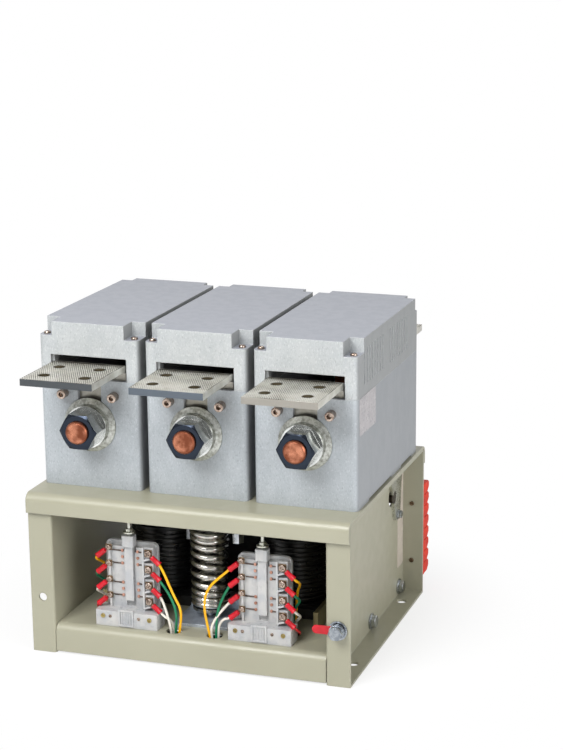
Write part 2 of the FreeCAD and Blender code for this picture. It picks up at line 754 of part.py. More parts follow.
def pole_body(number_of_pole, centre):
    """Moulded lower housing of one pole: open on top, slotted for the stem and the lever."""
    shell = on_base(
        "shell",
        middle_block(centre, pole_front, frame_height, pole_width, pole_depth, body_height),
    )
    round_edges(shell, pole_round, lambda edge: runs_along(edge, "z"))
    inner_w = pole_width - pole_wall * 2
    inner_d = pole_depth - pole_wall * 2
    floor = frame_height + pole_floor
    room = middle_block(
        centre, pole_front + pole_wall, floor, inner_w, inner_d, body_height - pole_floor
    )
    room = cut(room, *corner_posts(centre, floor, body_height - pole_floor))
    wall_in = pole_rear - pole_wall
    tools = [
        room,
        middle_block(centre, pole_front, stem_z, stem_slot, pole_wall, seam - stem_z),
        rod("y", centre, pole_front, stem_z, stem_slot / 2, pole_wall),
        middle_block(
            centre, shaft_y - lever_slot_y / 2, frame_height, lever_slot_x, lever_slot_y, pole_floor
        ),
        middle_block(
            centre,
            pole_front + relief_front,
            frame_height,
            pole_width,
            relief_long,
            foot_relief,
        ),
        middle_block(
            centre,
            pole_rear - relief_back - relief_short,
            frame_height,
            pole_width,
            relief_short,
            foot_relief,
        ),
    ]
    for side in (-1, 1):
        x = centre + clamp_span * side / 2
        z = seam - clamp_drop
        tools.append(rod("y", x, pole_front, z, clamp_radius, pole_wall))
        tools.append(rod("y", x, wall_in, z, clamp_radius, pole_wall))
        for y in pole_screw_rows:
            x = centre + pole_screw_x * side
            tools.append(rod("z", x, y, frame_height, pole_screw_radius, pole_screw_depth + 5))
        for y in cover_screw_rows:
            x = centre + cover_screw_x * side
            depth = cover_screw_depth + 2
            tools.append(rod("z", x, y, seam - depth, cover_screw_radius, depth))
    return node("pole_body_%d" % number_of_pole, cut(shell, *tools))


def corner_posts(centre, z, height):
    """The four posts in a housing's corners, which the screws go into."""
    posts = []
    for side in (-1, 1):
        outer = pole_width / 2 - pole_wall
        x, width = span(side, outer - post_width, outer)
        for y in (pole_front + pole_wall, pole_rear - pole_wall - post_width):
            posts.append(block(centre + x, y, z, width, post_width, height))
    return posts


def pole_cover(number_of_pole, centre):
    """Cover of one pole, with corner notches, a busbar slot front and rear and side vents."""
    top = seam + cover_height
    shell = on_base(
        "lid", middle_block(centre, pole_front, seam, pole_width, pole_depth, cover_height)
    )
    round_edges(shell, pole_round, lambda edge: runs_along(edge, "z"))
    room = middle_block(
        centre,
        pole_front + pole_wall,
        seam,
        pole_width - pole_wall * 2,
        pole_depth - pole_wall * 2,
        cover_height - pole_wall,
    )
    notches = []
    pockets = []
    for side in (-1, 1):
        for wide, long, y, back in (
            (notch_width, notch_length, pole_front, 0),
            (rear_notch, rear_notch, pole_rear - rear_notch, pole_wall),
        ):
            x, width = span(side, pole_width / 2 - wide, pole_width / 2)
            notches.append(block(centre + x, y, top - notch_drop, width, long, notch_drop))
            x, width = span(side, pole_width / 2 - wide - pole_wall, pole_width / 2)
            depth = notch_drop + pole_wall
            pockets.append(
                block(centre + x, y - back, top - depth, width, long + pole_wall, depth)
            )
    room = cut(room, *pockets, *corner_posts(centre, seam, cover_height))
    tools = [room] + notches
    for y in (pole_front, pole_rear - pole_wall):
        tools.append(middle_block(centre, y, seam, slot_width, pole_wall, slot_height))
    for side in (-1, 1):
        for y in cover_screw_rows:
            x = centre + cover_screw_x * side
            tools.append(rod("z", x, y, seam, cover_screw_radius, cover_height - notch_drop))
    body = on_base("pole_cover", cut(shell, *tools))
    for start in (vent_front, vent_rear):
        vents(body, centre, start)
    return node("pole_cover_%d" % number_of_pole, body)


def vents(body, centre, start):
    """A row of upright vent slots through both sides of a cover."""
    doc.recompute()
    y = pole_front + start
    z = seam + vent_rise
    corners = [
        (y, z),
        (y + vent_width, z),
        (y + vent_width, z + vent_height),
        (y, z + vent_height),
    ]
    sketch = outline(body, "YZ_Plane", corners, centre + pole_width / 2)
    slot = body.newObject("PartDesign::Pocket", "vent")
    slot.Profile = sketch
    bind(slot, "Length", pole_width)
    body.Tip = slot
    doc.recompute()
    row = body.newObject("PartDesign::LinearPattern", "vents")
    row.Originals = [slot]
    row.Direction = (sketch, ["H_Axis"])
    bind(row, "Length", vent_pitch * (vent_count - 1))
    row.Occurrences = vent_count
    body.Tip = row


cover_screw_radius = size("cover_screw_radius", 2.2, "cover screws")
cover_screw_inset = size("cover_screw_inset", 6.5, "cover screws from the sides and the rear")
cover_screw_front = size("cover_screw_front", 8, "front cover screws from the pole front")
cover_screw_depth = size("cover_screw_depth", 12, "cover screws below the seam")
cover_screw_head = size("cover_screw_head", 3.6, "radius of a cover screw's head")
cover_screw_dome = size("cover_screw_dome", 2.4, "height of a cover screw's head")
doc.recompute()
cover_screw_x = pole_width / 2 - cover_screw_inset
cover_screw_rows = [pole_front + cover_screw_front, pole_rear - cover_screw_inset]


def line_busbar(number_of_pole, centre):
    """Front busbar: a wide tongue with four holes and a leg clamped behind the housing wall."""
    low = seam + line_bar_rise
    tip = pole_front - bar_reach
    leg = pole_front + pole_wall
    profile = [
        (tip, low),
        (tip, low + bar_thick),
        (leg + bar_thick, low + bar_thick),
        (leg + bar_thick, stem_z - line_leg_drop),
        (leg, stem_z - line_leg_drop),
        (leg, low),
    ]
    outer = (leg + bar_thick, low + bar_thick)
    body = bent_bar("line_busbar", centre, profile, (leg, low), outer, bar_bend)
    tools = bar_holes(centre, tip + bar_hole_edge, low)
    tools.append(rod("y", centre, leg, stem_z, stem_radius + running_gap, bar_thick))
    for side in (-1, 1):
        x = centre + clamp_span * side / 2
        tools.append(rod("y", x, leg, seam - clamp_drop, clamp_radius, bar_thick))
    return node("line_busbar_%d" % number_of_pole, cut(body, *tools))


def load_busbar(number_of_pole, centre):
    """Rear busbar: the same tongue, with a short leg that carries the flexible link."""
    low = seam + load_bar_rise
    tip = pole_rear + bar_reach
    leg = pole_rear - pole_wall
    profile = [
        (tip, low),
        (leg, low),
        (leg, low - load_leg_height),
        (leg - bar_thick, low - load_leg_height),
        (leg - bar_thick, low + bar_thick),
        (tip, low + bar_thick),
    ]
    outer = (leg - bar_thick, low + bar_thick)
    body = bent_bar("load_busbar", centre, profile, (leg, low), outer, load_bar_rise)
    tools = bar_holes(centre, tip - bar_hole_edge - bar_hole_y, low)
    for side in (-1, 1):
        x = centre + clamp_span * side / 2
        tools.append(rod("y", x, leg - bar_thick, seam - clamp_drop, clamp_radius, bar_thick))
    return node("load_busbar_%d" % number_of_pole, cut(body, *tools))


def bent_bar(name, centre, profile, inner, outer, bend):
    """A flat bar bent once, with its inner and outer bend rounded."""
    body = padded(name, "YZ_Plane", profile, centre - bar_width / 2, bar_width)
    round_edges(body, bend, lambda edge: is_bend(edge, [inner]))
    round_edges(body, bend + bar_thick, lambda edge: is_bend(edge, [outer]))
    return body


def bar_holes(centre, y, z):
    """The two by two bolt holes in a busbar's tongue."""
    holes = []
    for side in (-1, 1):
        for row in (0, 1):
            x = centre + bar_hole_x * side / 2
            holes.append(rod("z", x, y + bar_hole_y * row, z, bar_hole / 2, bar_thick))
    return holes


can_gap = size("can_gap", 8, "front busbar's leg to the interrupter")
can_step = size("can_step", 3, "ceramic's edge outside the interrupter's end cap")
cap_front = size("cap_front", 6, "front end cap of the interrupter")
cap_back = size("cap_back", 4, "rear end cap of the interrupter")
guide_wall = size("guide_wall", 6, "wall of the stem guide")
guide_length = size("guide_length", 10, "stem guide behind the interrupter")
stem_depth = size("stem_depth", 12, "moving stem inside the interrupter")
bore_depth = size("bore_depth", 5, "bore ahead of the moving stem")
link_drop = size("link_drop", 8, "flexible link below the seam")
stem_tail = size("stem_tail", 36, "moving stem behind its guide")
stem_collar = size("stem_collar", 8, "collar of the fixed stem, out past the stem")
collar_thick = size("collar_thick", 4, "collar of the fixed stem")
insulator_length = size("insulator_length", 24, "ribbed insulator")
insulator_radius = size("insulator_radius", 11, "ribbed insulator")
rib_height = size("rib_height", 3, "rib of the insulator")
rib_pitch = size("rib_pitch", 8, "between two ribs of the insulator")
contact_length = size("contact_length", 18.4, "contact spring")
seat_thick = size("seat_thick", 2.5, "washer under the contact spring")
pull_radius = size("pull_radius", 4, "pull rod")
pull_nut_flats = size("pull_nut_flats", 13, "nut of the pull rod")
pull_nut_height = size("pull_nut_height", 5.5, "nut of the pull rod")
pull_tail = size("pull_tail", 7, "pull rod behind the lever")
lever_play = size("lever_play", 0.7, "play of the lever along the pull rod")
clamp_gap = size("clamp_gap", 6, "link's clamp behind the stem guide")
clamp_length = size("clamp_length", 16, "link's clamp on the moving stem")
nut_rim = size("nut_rim", 3, "flange of the stem nut")
doc.recompute()


def lever_tip_shift():
    """How far the tips of the levers lie behind the shaft while the contactor is open."""
    return (stem_z - shaft_rise) * open_angle / RADIAN


# Places along a pole's axis, measured from the end of the fixed stem
stem_end = pole_front - stem_reach
leg_back = stem_reach + pole_wall + bar_thick
can_front = leg_back + can_gap
ceramic_front = can_front + cap_front
lever_face = shaft_y - stem_end - lever_depth / 2 + lever_tip_shift()
lever_back = lever_face + lever_depth + lever_play
spring_seat = lever_face - lever_play
rod_start = spring_seat - seat_thick - contact_length - insulator_length
guide_back = rod_start - stem_tail
can_back = guide_back - guide_length
ceramic_back = can_back - cap_back
stem_start = can_back - stem_depth


def fixed_stems():
    """Fixed copper stems of the interrupters, with the collar behind each front busbar."""
    stems = []
    for index in (-1, 0, 1):
        profile = [
            (0, 0),
            (stem_radius - stem_bevel, 0),
            (stem_radius, stem_bevel),
            (stem_radius, leg_back),
            (stem_radius + stem_collar, leg_back),
            (stem_radius + stem_collar, leg_back + collar_thick),
            (stem_radius, leg_back + collar_thick),
            (stem_radius, can_front),
            (0, can_front),
        ]
        stem = turned("fixed_stem", profile)
        stems.append(place(stem, pole_pitch * index, stem_end, stem_z, "y"))
    return node("fixed_stems", group(*stems))


def interrupters():
    """Vacuum interrupters: a ceramic tube between two end caps, with the stem guide behind."""
    bore = moving_radius + rest_gap
    bore_end = stem_start - bore_depth
    bottles = []
    for index in (-1, 0, 1):
        profile = [
            (0, can_front),
            (bottle_radius - can_step, can_front),
            (bottle_radius - can_step, ceramic_front),
            (bottle_radius, ceramic_front),
            (bottle_radius, ceramic_back),
            (bottle_radius - can_step, ceramic_back),
            (bottle_radius - can_step, can_back),
            (bore + guide_wall, can_back),
            (bore + guide_wall, guide_back),
            (bore, guide_back),
            (bore, bore_end),
            (0, bore_end),
        ]
        bottle = turned("interrupter", profile)
        bottles.append(place(bottle, pole_pitch * index, stem_end, stem_z, "y"))
    return node("interrupters", group(*bottles))


def stem_washers():
    """Dished washer and lock washer on each fixed stem."""
    pieces = []
    bore = stem_radius + running_gap
    for index in (-1, 0, 1):
        x = pole_pitch * index
        dished = [
            (bore, 0),
            (lock_radius + washer_rim, 0),
            (washer_radius, washer_thick - washer_rim),
            (washer_radius, washer_thick),
            (bore, washer_thick),
        ]
        y = pole_front - washer_thick
        pieces.append(place(turned("dished", dished), x, y, stem_z, "y"))
        lock = [
            (bore, 0),
            (lock_radius - stem_bevel, 0),
            (lock_radius, stem_bevel),
            (lock_radius, lock_thick),
            (bore, lock_thick),
        ]
        pieces.append(place(turned("lock", lock), x, y - lock_thick, stem_z, "y"))
    return node("stem_washers", group(*pieces))


def stem_nuts():
    """Flanged hexagon nuts that clamp the fixed stems to the front busbars."""
    nuts = []
    bore = stem_radius + running_gap
    for index in (-1, 0, 1):
        x = pole_pitch * index
        back = pole_front - washer_thick - lock_thick
        face_y = back - nut_height
        nut = fuse(
            bevelled("y", x, face_y, stem_z, nut_flats, nut_height),
            rod("y", x, back - nut_rim, stem_z, nut_flange, nut_rim),
        )
        nuts.append(cut(nut, rod("y", x, face_y, stem_z, bore, nut_height)))
    return node("stem_nuts", group(*nuts))


def busbar_screws():
    """Socket head screws that clamp each busbar's leg to the housing, front and rear."""
    screws = []
    z = seam - clamp_drop
    shank = pole_wall + bar_thick
    for index in (-1, 0, 1):
        for side in (-1, 1):
            x = pole_pitch * index + clamp_span * side / 2
            y = pole_front
            ahead = fuse(
                rod("y", x, y - clamp_head, z, clamp_cap, clamp_head),
                rod("y", x, y, z, clamp_radius - running_gap, shank),
            )
            socket = hexagon("y", x, y - clamp_head, z, clamp_socket, clamp_socket_depth)
            screws.append(cut(ahead, socket))
            y = pole_rear
            behind = fuse(
                rod("y", x, y, z, clamp_cap, clamp_rear_head),
                rod("y", x, y - shank, z, clamp_radius - running_gap, shank),
            )
            start = y + clamp_rear_head - clamp_rear_socket
            socket = hexagon("y", x, start, z, clamp_socket, clamp_rear_socket)
            screws.append(cut(behind, socket))
    return node("busbar_screws", group(*screws))


def cover_screws():
    """Pan head screws in the covers' corner notches."""
    screws = []
    seat = seam + cover_height - notch_drop
    low = seam - cover_screw_depth
    for index in (-1, 0, 1):
        for side in (-1, 1):
            x = pole_pitch * index + cover_screw_x * side
            for y in cover_screw_rows:
                screws.append(
                    fuse(
                        rod("z", x, y, seat, cover_screw_head, cover_screw_dome),
                        rod("z", x, y, low, cover_screw_radius - running_gap, seat - low),
                    )
                )
    return node("cover_screws", group(*screws))


def pole_screws():
    """Hexagon screws from below that hold the poles on the top plate."""
    screws = []
    top = frame_height + pole_screw_depth
    shank = pole_screw_radius - running_gap
    for index in (-1, 0, 1):
        for side in (-1, 1):
            x = pole_pitch * index + pole_screw_x * side
            seat = deck - frame_sheet if side == index else deck
            for y in pole_screw_rows:
                low = seat - pole_screw_head
                screws.append(
                    fuse(
                        bevelled("z", x, y, low, pole_screw_flats, pole_screw_head),
                        rod("z", x, y, seat, shank, top - seat),
                    )
                )
    return node("pole_screws", group(*screws))


def moving_stem(number_of_pole, centre):
    """Moving copper stem of one interrupter, with the clamp for its flexible link."""
    clamp = middle_block(
        centre,
        stem_end + guide_back + clamp_gap,
        stem_z - link_width / 2,
        link_width,
        clamp_length,
        link_width,
    )
    bar = rod("y", centre, stem_end + stem_start, stem_z, moving_radius, rod_start - stem_start)
    return node("moving_stem_%d" % number_of_pole, fuse(bar, clamp))


def pull_rod(number_of_pole, centre):
    """Ribbed insulator and pull rod that join one moving stem to its lever."""
    ribs = []
    outer = insulator_radius + rib_height
    quarter = rib_pitch / 4
    for index in range(3):
        start = rib_pitch * index + quarter
        ribs += [
            (insulator_radius, start),
            (outer, start + quarter),
            (outer, start + quarter * 2),
            (insulator_radius, start + quarter * 3),
        ]
    tail = lever_back + pull_tail - rod_start
    profile = [(0, 0), (insulator_radius, 0)] + ribs[:-1]
    profile += [
        (insulator_radius, insulator_length),
        (pull_radius, insulator_length),
        (pull_radius, tail),
        (0, tail),
    ]
    body = turned("pull_rod", profile)
    place(body, centre, stem_end + rod_start, stem_z, "y")
    nut = hexagon("y", centre, stem_end + lever_back, stem_z, pull_nut_flats, pull_nut_height)
    seat = stem_end + spring_seat - seat_thick
    washer = rod("y", centre, seat, stem_z, insulator_radius, seat_thick)
    return node("pull_rod_%d" % number_of_pole, fuse(body, nut, washer))


def contact_spring(number_of_pole, centre):
    """Stack of disc springs that presses one moving stem home."""
    discs = 4
    inner = pull_radius + rest_gap
    waist = insulator_radius - rib_height
    step = contact_length / discs
    profile = [(inner, 0), (waist, 0)]
    for index in range(discs):
        profile.append((insulator_radius, step * index + step / 2))
        profile.append((waist, step * (index + 1)))
    profile.append((inner, contact_length))
    body = turned("contact_spring", profile)
    place(body, centre, stem_end + rod_start + insulator_length, stem_z, "y")
    return node("contact_spring_%d" % number_of_pole, body)


def flexible_links():
    """Laminated copper links from the rear busbars over the levers to the moving stems."""
    links = []
    foot_front = stem_end + guide_back + clamp_gap
    foot_back = foot_front + clamp_length - link_thick
    foot = stem_z + link_width / 2 + rest_gap
    high = seam - link_drop
    leg = pole_rear - pole_wall - bar_thick
    tab = seam + load_bar_rise - load_leg_height
    profile = [
        (leg, tab),
        (leg - link_thick, tab),
        (leg - link_thick, high),
        (foot_back, high),
        (foot_back, foot),
        (foot_front, foot),
        (foot_front, foot + link_thick),
        (foot_back - link_thick, foot + link_thick),
        (foot_back - link_thick, high + link_thick),
        (leg, high + link_thick),
    ]
    for index in (-1, 0, 1):
        x = pole_pitch * index - link_width / 2
        links.append(padded("link", "YZ_Plane", profile, x, link_width))
    return node("flexible_links", group(*links))


for index in (-1, 0, 1):
    pole = index + 2
    middle = pole_pitch * index
    pole_body(pole, middle)
    pole_cover(pole, middle)
    line_busbar(pole, middle)
    load_busbar(pole, middle)
    moving_stem(pole, middle)
    pull_rod(pole, middle)
    contact_spring(pole, middle)
fixed_stems()
interrupters()
stem_washers()
stem_nuts()
busbar_screws()
cover_screws()
pole_screws()
flexible_links()


def on_shaft(label, piece):
    """Turns a drive piece, drawn in the closed position about the shaft, to its open place."""
    held = group(piece)
    held.Placement = Placement(
        Vector(0, number(shaft_y), number(shaft_rise)),
        Rotation(Vector(-1, 0, 0), number(open_angle)),
    )
    held.setExpression("Placement.Base.y", shaft_y.text)
    held.setExpression("Placement.Base.z", shaft_rise.text)
    held.setExpression("Placement.Rotation.Angle", open_angle.text)
    return node(label, held)


def main_shaft():
    """Steel shaft that ends just inside the outer faces of the bearing plates."""
    length = (web + frame_sheet + bearing_thick - shaft_recess) * 2
    return on_shaft("main_shaft", rod("x", -length / 2, 0, 0, shaft_radius, length))


def armature_plate():
    """Armature that the coils pull down, hollowed round the spring, with cheeks on the shaft."""
    head = plate_front - shaft_setback
    tail = -plate_back_gap
    plate = middle_block(0, head, -plate_drop, plate_width, tail - head, plate_thick)
    cheeks = []
    for side in (-1, 1):
        x, width = span(side, plate_cheek, plate_cheek + plate_cheek_thick)
        start = tail - plate_cheek_thick
        tall = plate_drop + plate_thick
        cheeks.append(block(x, start, -plate_drop, width, -start, tall))
        cheeks.append(rod("x", x, 0, 0, lever_hub, width))
    tools = [
        rod("x", -plate_width / 2, 0, 0, shaft_radius + running_gap, plate_width),
        rod(
            "z",
            0,
            spring_setback - shaft_setback,
            -plate_drop,
            spring_radius + spring_clear,
            plate_thick,
        ),
    ]
    for side in (-1, 1):
        x = armature_bolt_x * side
        tools.append(
            rod("z", x, armature_bolt_y, -plate_drop, armature_bolt_radius, plate_thick)
        )
    return on_shaft("armature_plate", cut(fuse(plate, *cheeks), *tools))


armature_bolt_x = size("armature_bolt_x", 26, "bolts of the actuator bar, from the middle")
armature_bolt_setback = size("armature_bolt_setback", 81, "front flange face to those bolts")
armature_bolt_radius = size("armature_bolt_radius", 4, "bolts of the actuator bar")
armature_bolt_head = size("armature_bolt_head", 11, "deep head of those bolts")
armature_bolt_flats = size("armature_bolt_flats", 12, "those bolts over their flats")
armature_nut = size("armature_nut", 5, "nut on those bolts")
actuator_thick = size("actuator_thick", 3, "actuator bar")
actuator_edge = size("actuator_edge", 10, "actuator bar past its bolts")
actuator_nose = size("actuator_nose", 6, "actuator bar ahead of the switch rods")
spring_clear = size("spring_clear", 3, "armature plate clear of the return spring")
shaft_recess = size("shaft_recess", 1, "shaft's end inside the bearing plate's face")
switch_rod_radius = size("switch_rod_radius", 2, "switch rod")
switch_rod_flange = size("switch_rod_flange", 6.5, "flange of a switch rod")
switch_rod_rim = size("switch_rod_rim", 1.5, "thickness of that flange")
switch_rod_foot = size("switch_rod_foot", 2, "tip of a switch rod below its flange")
switch_nut_flats = size("switch_nut_flats", 7, "nuts of a switch rod")
switch_nut_height = size("switch_nut_height", 3, "nuts of a switch rod")
actuator_half = size("actuator_half", 92, "half the length of the actuator bar")
actuator_lift = size("actuator_lift", 12.5, "step of the actuator bar above the armature plate")
doc.recompute()
armature_bolt_y = armature_bolt_setback - shaft_setback


def armature_bolts():
    """Bolts that hold the actuator bar on the armature, with deep heads below."""
    bolts = []
    top = plate_thick - plate_drop + actuator_thick
    y = armature_bolt_y
    low = -plate_drop - armature_bolt_head
    shank = armature_bolt_radius - running_gap
    for side in (-1, 1):
        x = armature_bolt_x * side
        bolts.append(
            fuse(
                hexagon("z", x, y, low, armature_bolt_flats, armature_bolt_head),
                rod("z", x, y, low, shank, top + armature_nut + 1 - low),
                hexagon("z", x, y, top, armature_bolt_flats, armature_nut),
            )
        )
    return on_shaft("armature_bolts", group(*bolts))


def actuator_bar():
    """Stepped bar on the armature, over the return spring, that carries the switch rods."""
    base = plate_thick - plate_drop
    step = base + actuator_lift
    back = armature_bolt_y + actuator_edge
    riser = spring_setback - spring_radius - actuator_thick - shaft_setback
    nose = plunger_setback - shaft_setback - actuator_nose
    half_tongue = armature_bolt_x + actuator_edge
    profile = [
        (back, base),
        (riser, base),
        (riser, step),
        (nose, step),
        (nose, step + actuator_thick),
        (riser + actuator_thick, step + actuator_thick),
        (riser + actuator_thick, base + actuator_thick),
        (back, base + actuator_thick),
    ]
    tongue = padded("tongue", "YZ_Plane", profile, -half_tongue, half_tongue * 2)
    arm = middle_block(0, nose, step, actuator_half * 2, riser - nose, actuator_thick)
    tools = []
    for side in (-1, 1):
        x = armature_bolt_x * side
        tools.append(
            rod("z", x, armature_bolt_y, base, armature_bolt_radius, actuator_thick)
        )
        x = switch_pitch * side / 2
        y = plunger_setback - shaft_setback
        tools.append(rod("z", x, y, step, switch_rod_radius, actuator_thick))
    return on_shaft("actuator_bar", cut(fuse(tongue, arm), *tools))


def actuator_rods():
    """Threaded rods that press the switch plungers, each with a flange and two nuts."""
    rods = []
    y = plunger_setback - shaft_setback
    step = plate_thick - plate_drop + actuator_lift
    above = step + actuator_thick
    lift = (shaft_setback - plunger_setback) * open_angle / RADIAN
    tip = plunger_top + rest_gap - shaft_rise - lift
    flange = tip + switch_rod_foot
    high = switch_nut_height
    shank = switch_rod_radius - running_gap
    for side in (-1, 1):
        x = switch_pitch * side / 2
        rods.append(
            fuse(
                rod("z", x, y, tip, shank, above + high * 2 - tip),
                rod("z", x, y, flange, switch_rod_flange, switch_rod_rim),
                hexagon("z", x, y, flange + switch_rod_rim, switch_nut_flats, high),
                hexagon("z", x, y, step - high, switch_nut_flats, high),
                hexagon("z", x, y, above, switch_nut_flats, high),
            )
        )
    return on_shaft("actuator_rods", group(*rods))


def drive_levers():
    """Levers on the shaft, one up into each pole."""
    levers = []
    height = stem_z - shaft_rise
    back = -lever_depth / 2
    for index in (-1, 0, 1):
        x = pole_pitch * index
        lever = fuse(
            rod("x", x - hub_length / 2, 0, 0, lever_hub, hub_length),
            middle_block(x, back, 0, lever_width, lever_depth, height + lever_head),
            rod("y", x, back, height, lever_head - 2, lever_depth),
        )
        bore = rod("x", x - hub_length / 2, 0, 0, shaft_radius + running_gap, hub_length)
        eye = rod("y", x, back, height, pull_radius + lever_eye, lever_depth)
        levers.append(cut(lever, bore, eye))
    return on_shaft("drive_levers", group(*levers))


main_shaft()
armature_plate()
armature_bolts()
actuator_bar()
actuator_rods()
drive_levers()


def bearing_plates():
    """Zinc-plated V plates outside the webs, in which the shaft turns."""
    plates = []
    top_y = shaft_y + bearing_shift
    for side in (-1, 1):
        seat, width = span(side, web + frame_sheet, web + frame_sheet + bearing_thick)
        profile = [
            (top_y - bearing_half, bearing_top),
            (top_y + bearing_half, bearing_top),
            (bearing_tip_y + bearing_foot, bearing_drop),
            (bearing_tip_y - bearing_foot, bearing_drop),
        ]
        plate = padded("bearing_plate", "YZ_Plane", profile, seat, width)
        round_edges(plate, bearing_round, lambda edge: runs_along(edge, "x"))
        plates.append(
            cut(
                plate,
                rod("x", seat, shaft_y, shaft_rise, shaft_radius + running_gap, width),
                rod("x", seat, bearing_tip_y, bearing_screw_z, bearing_screw_radius, width),
            )
        )
    return node("bearing_plates", group(*plates))


def magnet_yoke():
    """Steel yoke under the coils, with a low cheek at each end and a rear limb."""
    y = front + yoke_front
    cheek_y = y - cheek_ahead
    length = yoke_depth + cheek_ahead + cheek_behind
    pieces = [middle_block(0, y, base_rise, yoke_width, yoke_depth, yoke_thick)]
    for side in (-1, 1):
        x, width = span(side, yoke_width / 2, yoke_width / 2 + cheek_thick)
        pieces.append(block(x, cheek_y, base_rise, width, length, cheek_height))
    limb_height = shaft_rise - plate_drop - limb_gap - base_rise
    limb_y = y + yoke_depth
    pieces.append(middle_block(0, limb_y, base_rise, yoke_width, limb_thick, limb_height))
    return node("magnet_yoke", fuse(*pieces))


coil_y = front + coil_setback
core_base = base_rise + yoke_thick
core_top = shaft_rise - plate_drop - rest_gap
bobbin_top = core_top - shoe_thick


def magnet_cores():
    """Round cores with pole shoes, standing on the yoke."""
    cores = []
    for side in (-1, 1):
        x = coil_pitch * side / 2
        cores.append(
            fuse(
                rod("z", x, coil_y, core_base, core_radius, core_top - core_base),
                rod("z", x, coil_y, bobbin_top, shoe_radius, shoe_thick),
            )
        )
    return node("magnet_cores", group(*cores))


def coil_bobbins():
    """Moulded bobbins on the cores."""
    bobbins = []
    tall = bobbin_top - core_base
    for side in (-1, 1):
        profile = [
            (core_radius, 0),
            (bobbin_radius, 0),
            (bobbin_radius, bobbin_flange),
            (core_radius + bobbin_wall, bobbin_flange),
            (core_radius + bobbin_wall, tall - bobbin_flange),
            (bobbin_radius, tall - bobbin_flange),
            (bobbin_radius, tall),
            (core_radius, tall),
        ]
        bobbin = turned("bobbin", profile)
        bobbins.append(place(bobbin, coil_pitch * side / 2, coil_y, core_base))
    return node("coil_bobbins", group(*bobbins))


def coils():
    """Two taped windings between their bobbins' flanges."""
    low = core_base + bobbin_flange
    step = (bobbin_top - core_base - bobbin_flange * 2) / coil_ribs
    inner = core_radius + bobbin_wall
    valley = coil_radius - coil_groove
    profile = [(inner, 0), (valley, 0)]
    for index in range(coil_ribs):
        start = step * index
        profile.append((coil_radius, start + step * 0.25))
        profile.append((coil_radius, start + step * 0.75))
        profile.append((valley, start + step))
    profile.append((inner, step * coil_ribs))
    windings = []
    for side in (-1, 1):
        winding = turned("winding", profile)
        windings.append(place(winding, coil_pitch * side / 2, coil_y, low))
    return node("coils", group(*windings))


def spring_bracket():
    """Stepped plate under the return spring, held between the base plate and the coils."""
    foot = front + spring_setback - bracket_ahead
    riser = front + spring_setback + spring_radius + 1
    back = front + yoke_front + bracket_behind
    shelf = base_rise + yoke_thick
    profile = [
        (foot, base_rise),
        (riser, base_rise),
        (riser, shelf),
        (back, shelf),
        (back, shelf + bracket_thick),
        (riser - bracket_thick, shelf + bracket_thick),
        (riser - bracket_thick, base_rise + bracket_thick),
        (foot, base_rise + bracket_thick),
    ]
    body = padded("spring_bracket", "YZ_Plane", profile, -bracket_half, bracket_half * 2)
    y = front + spring_setback
    hole = rod("z", 0, y, base_rise, adjuster_radius, bracket_thick)
    return node("spring_bracket", cut(body, hole))


def spring_adjuster():
    """Stud, nut and seat that set the return spring."""
    y = front + spring_setback
    low = base_rise - frame_sheet
    seat = spring_foot - seat_plate
    inner = spring_radius - spring_wire - 1
    shank = adjuster_radius - running_gap
    stud = fuse(
        rod("z", 0, y, low - adjuster_tail, shank, spring_foot + adjuster_rise - low),
        hexagon("z", 0, y, low - adjuster_nut, adjuster_flats, adjuster_nut),
        rod("z", 0, y, seat, spring_radius - 2, seat_plate),
        rod("z", 0, y, seat, inner, seat_plate * 3),
    )
    return node("spring_adjuster", stud)


def return_spring():
    """Round-wire compression spring that opens the contactor."""
    y = front + spring_setback
    lift = (shaft_setback - spring_setback - spring_radius) * open_angle / RADIAN
    top = shaft_rise + plate_thick - plate_drop + lift - rest_gap
    middle = spring_radius - spring_wire / 2
    helix = doc.addObject("Part::Helix", "helix")
    bind(helix, "Radius", middle)
    rise = top - spring_foot - spring_wire
    bind(helix, "Pitch", spring_pitch)
    bind(helix, "Height", rise)
    place(helix, 0, y, spring_foot + spring_wire / 2)
    wire = doc.addObject("Part::Circle", "wire")
    bind(wire, "Radius", spring_wire / 2)
    wire.Placement = Placement(
        Vector(number(middle), number(y), number(spring_foot + spring_wire / 2)),
        Rotation(Vector(1, 0, 0), 90),
    )
    wire.setExpression("Placement.Base.x", middle.text)
    wire.setExpression("Placement.Base.y", y.text)
    wire.setExpression("Placement.Base.z", (spring_foot + spring_wire / 2).text)
    coil_of_wire = doc.addObject("Part::Sweep", "return_spring")
    coil_of_wire.Sections = [wire]
    coil_of_wire.Spine = (helix, [])
    coil_of_wire.Solid = True
    coil_of_wire.Frenet = True
    return node("return_spring", coil_of_wire)


bearing_plates()
magnet_yoke()
magnet_cores()
coil_bobbins()
coils()
spring_bracket()
spring_adjuster()
return_spring()

# Auxiliary switches
switch_back = size("switch_back", 58, "back plate of a switch")
switch_wall = size("switch_wall", 4, "back plate of a switch")
switch_round = size("switch_round", 6, "upper corners of the back plate")
switch_body = size("switch_body", 46, "body of a switch between its terminals")
switch_step = size("switch_step", 5, "body of a switch below the top of its back plate")
panel_left = size("panel_left", 21, "left edge of the front panel from the plunger")
panel_right = size("panel_right", 18, "right edge of the front panel from the plunger")
panel_drop = size("panel_drop", 5, "front panel below the top of the back plate")
panel_thick = size("panel_thick", 1.5, "front panel")
left_screw = size("left_screw", 22, "left-hand terminals from the plunger")
right_screw = size("right_screw", 23, "right-hand terminals from the plunger")
left_stand = size("left_stand", 3, "left-hand terminals ahead of the panel")
right_stand = size("right_stand", 5, "right-hand terminals ahead of the panel")
rib_stand = size("rib_stand", 2, "barriers ahead of the right-hand terminals")
rib_rise = size("rib_rise", 2, "thickness and rise of those barriers")
